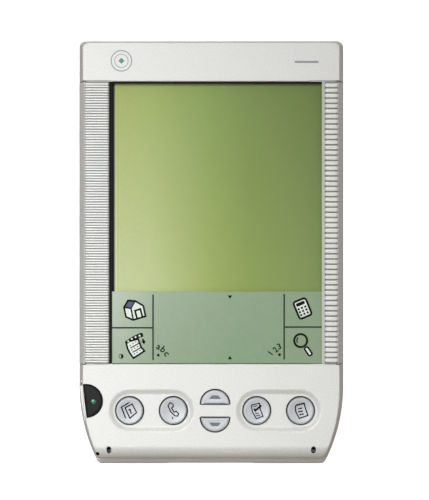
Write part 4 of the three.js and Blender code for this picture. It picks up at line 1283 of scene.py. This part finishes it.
def under(x, y):
    return LABEL_Z


lines = [stroke(rounded(-23.2, 9.2, -7.7, -0.3, 0.6), 0.25, under, closed=True)]
lines += [stroke([(-21.5, y), (end, y)], 0.3, under) for y, end in ((-2.4, 7.5), (-5.4, -4.0))]
printed("label_border", lines, grey_ink, "case")

# -------------------- battery contacts
# Three stampings of nickel-plated spring steel: one bridges the cells on the left, two take their ends on
# the right.
spring_steel = grained("spring_steel", "#b5b6b4", "#cfd0ce", 0.25, 0.4, 0.004, 1.0)
coat(spring_steel, "bridge_contact", "positive_contact", "negative_contact")

# -------------------- cells
# Two AAA alkaline cells: a steel can in a shrunk film jacket, copper-coloured at the positive end and dark
# behind it, with the can's rim, base and pip left bare.
CELL = {"half": 22.25, "radius": 5.1, "y": -41.6, "z": 6.35, "spacing": 10.6}
BAND_REACH = 22.0  # the jacket's colours are spread this far each way from the middle
BARE_RADIUS = 4.55  # the jacket is shrunk over the ends to here
nickel = grained("nickel_plate", "#a9aaa8", "#c6c7c4", 0.28, 0.5, 0.004, 1.0)


def jacket(name, way):
    """A shrunk film jacket whose colour changes a third of the way from the positive end."""
    material, tree, shader = surface(name, Metallic=0.35)
    place = add(tree, "ShaderNodeTexCoord").outputs["Object"]
    along = add(tree, "ShaderNodeSeparateXYZ", inputs={0: place}).outputs["X"]
    along = remap(tree, along, -way * BAND_REACH * MM, way * BAND_REACH * MM)
    bands = [(0.0, "#1b1d21"), (0.6, "#23262b"), (0.62, "#c9c2b0"), (0.65, "#9a6a3c"), (0.95, "#a87645")]
    tree.links.new(ramp(tree, along, bands), shader.inputs["Base Color"])
    wrinkle = noise(tree, place, 1.5, 4.0)
    tree.links.new(remap(tree, wrinkle, 0.0, 1.0, 0.22, 0.4), shader.inputs["Roughness"])
    relief(tree, shader, wrinkle, 0.3, 0.02)
    return material


def bare(middle):
    """The parts of a cell that its jacket leaves bare."""
    out = math.hypot(min(abs(middle.y - upper_y), abs(middle.y - lower_y)), middle.z - CELL["z"])
    return out < BARE_RADIUS


upper_y, lower_y = CELL["y"] + CELL["spacing"] / 2, CELL["y"] - CELL["spacing"] / 2
for name, y, way in (("upper_cell", upper_y, 1), ("lower_cell", lower_y, -1)):
    profile = [(0, -22.0), (3.4, -22.0), (3.6, -22.12), (4.0, -22.2)]  # base
    profile += [(4.5, -22.15), (4.6, -22.25), (4.95, -22.2), (5.08, -22.05), (CELL["radius"], -21.8)]
    profile += [(CELL["radius"], 20.8), (5.06, 21.05), (4.9, 21.2), (4.6, 21.25), (4.5, 21.1), (4.1, 20.95)]
    profile += [(3.4, 20.95), (3.1, 21.15), (2.2, 21.2), (1.95, 21.3)]
    profile += [(1.9, 21.5), (1.88, 22.05), (1.75, 22.2), (1.5, CELL["half"]), (0, CELL["half"])]  # pip
    profile = [(radius, along * way) for radius, along in profile]
    cell = turned(name + "_can", profile, (y, CELL["z"]), 48, "X")
    smooth(cell, 40)
    two_finishes(cell, jacket(name + "_jacket", way), nickel, bare)
    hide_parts(name)
    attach(cell, "case")

# -------------------- battery door
# Moulded ABS, painted with the case. It turns on two pins at its lower edge, and has a sunk thumb pad with
# raised ridges and a small moulded arrow that shows which way it opens.
DOOR = {"half": 25.3, "y0": -52.6, "y1": -30.7, "z0": 0.02, "z1": 1.1}
section = [(DOOR["y0"], 0.6), (-51.9, DOOR["z0"]), (DOOR["y1"], DOOR["z0"])]
section += [(DOOR["y1"], DOOR["z1"]), (DOOR["y0"], DOOR["z1"])]
door = bar("door", section, "X", -DOOR["half"], DOOR["half"])
bevelled(door, 0.22, 3)
additions = [
    box("hinge_rail", -DOOR["half"] + 0.3, DOOR["half"] - 0.3, -52.4, -51.3, 0.7, 1.25),
    bar("pins", circle(DOOR_AXIS[0], DOOR_AXIS[1], 0.35, 24), "X", -26.3, 26.3),
]
combine(door, additions, "UNION")
PAD_FLOOR_Z = 0.42


def ridge_row(name, half_widths, foot_z, height, reach, count, start_y, pitch):
    """A row of rounded thumb ridges that stand out of the floor of a pad, towards the back."""
    half = list(zip(half_widths, (0, 0.75, 1)))
    section = [(u, foot_z - height * v) for u, v in half + [(-u, v) for u, v in reversed(half)]]
    ridge = bar("ridge", section, "X", -reach, reach)
    smooth(ridge, 60)
    return repeated(name, ridge, count, (0, start_y, 0), (0, pitch, 0), silver_paint)


pad = rounded_well("thumb_pad", -8.5, 8.5, -38.6, -32.0, 1.2, PAD_FLOOR_Z, DOOR["z0"], 0.2)
arrow = prism("arrow", [(-1.6, -40.6), (0, -42.4), (1.6, -40.6)], -0.5, 0.2)
combine(door, [pad, arrow])
smooth(door)
door.data.materials.append(silver_paint)
ridges = ridge_row("pad_ridges", (0.42, 0.3, 0.12), PAD_FLOOR_Z + 0.05, 0.3, 7.0, 6, -37.8, 1.0)
door = joined("battery_cover", [door, ridges])
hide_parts("battery_door")
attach(door, "cell_door")

# -------------------- expansion blank
# A hollow moulded tray, painted with the case, that keeps dust out of the bay. Its tongues run in the bay's
# grooves, ribs stiffen its floor, and a scoop and a sunk pad at its outer end take a finger and thumb.
BLANK = {"half": 27.05, "y0": 3.9, "y1": 60.8, "z0": 0.1, "z1": 6.0}
blank = box("blank", -BLANK["half"], BLANK["half"], BLANK["y0"], BLANK["y1"], BLANK["z0"], BLANK["z1"])
bevelled(blank, 0.35, 3)
combine(blank, [box("tongues", -27.85, 27.85, BLANK["y0"] + 0.1, 58.0, 3.1, 4.1)], "UNION")
cuts = [
    box("hollow", -25.7, 25.7, 5.2, 59.2, 1.4, 7),
    bar("scoop", circle(62.1, 0.0, 2.2), "X", -9, 9),
    rounded_well("grip_pad", -12, 12, 49.0, 57.0, 1.5, 0.55, BLANK["z0"], 0.2),
]
combine(blank, cuts)
smooth(blank)
blank.data.materials.append(silver_paint)
ridges = ridge_row("grip_ridges", (0.45, 0.32, 0.12), 0.6, 0.36, 10.5, 6, 50.3, 1.1)
stiffener = box("stiffener", -25.75, 25.75, -0.45, 0.45, 1.35, 4.6)
stiffeners = repeated("stiffeners", stiffener, 4, (0, 15.5, 0), (0, 11.0, 0), silver_paint)
blank = joined("bay_cover", [blank, ridges, stiffeners])
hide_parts("expansion_blank")
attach(blank, "bay_blank")

# -------------------- stylus
# A drawn tube of brushed steel with a writing tip of dark acetal and a cap of black ABS, ringed for the
# fingers.
STYLUS = (SILO["x"], SILO["z"])
STYLUS_RADIUS = 2.4
brushed_steel = grained("brushed_steel", "#a9abad", "#c4c6c8", 0.3, 0.15, 0.004, 1.0, (1, 0.05, 1))
profile = [(0, -36.5), (2.25, -36.5), (2.36, -36.42), (STYLUS_RADIUS, -36.2)]
profile += [(STYLUS_RADIUS, -33.7), (2.3, -33.6), (2.3, -33.3), (STYLUS_RADIUS, -33.2)]  # the lower ring groove
profile += [(STYLUS_RADIUS, 46.0), (2.3, 46.1), (2.3, 46.4), (STYLUS_RADIUS, 46.5)]  # the upper one
profile += [(STYLUS_RADIUS, 47.75), (2.36, 47.92), (2.25, 48.0), (0, 48.0)]
barrel = turned("stylus_tube", profile, STYLUS, 56, "Y")
smooth(barrel, 40)
barrel.data.materials.append(brushed_steel)
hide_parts("stylus_barrel")
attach(barrel, "stylus")

acetal = grained("acetal", "#24262a", "#2f3236", 0.35, 0.4, 0.004)
profile = [(0, -44.2), (0.2, -44.18), (0.38, -44.08), (0.5, -43.9), (0.62, -43.5), (1.2, -41.5)]
profile += [(2.05, -37.7), (2.2, -37.2), (2.2, -36.65), (2.1, -36.6), (0, -36.6)]
nib = turned("stylus_nib", profile, STYLUS, 40, "Y")
smooth(nib, 40)
nib.data.materials.append(acetal)
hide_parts("stylus_tip")
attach(nib, "stylus")

profile = [(0, 48.1), (2.28, 48.1), (STYLUS_RADIUS, 48.25), (STYLUS_RADIUS, 51.6)]
groove = [(2.34, 0.0), (2.18, 0.12), (2.14, 0.3), (2.18, 0.48), (2.34, 0.6), (STYLUS_RADIUS, 0.7)]
for ring_y in (51.7, 52.7, 53.7, 54.7, 55.7):
    profile += [(radius, ring_y + along) for radius, along in groove]
profile += [(STYLUS_RADIUS, 59.3), (2.47, 59.6), (2.5, 59.9), (2.48, 60.2), (2.38, 60.5)]
profile += [(2.15, 60.72), (1.8, 60.8), (1.2, 60.8), (1.1, 60.72), (0, 60.66)]
cap = turned("stylus_end", profile, STYLUS, 56, "Y")
smooth(cap, 50)
cap.data.materials.append(black_abs)
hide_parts("stylus_cap")
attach(cap, "stylus")

# -------------------- case screws
# Four zinc-plated pan-head screws that cut their own thread in the posts of the front shell.
zinc_plate = grained("zinc_plate", "#9a9c9d", "#b9bbbc", 0.35, 0.3, 0.01, 1.0)
coat(zinc_plate, "top_left_screw", "top_right_screw", "bottom_left_screw", "bottom_right_screw")
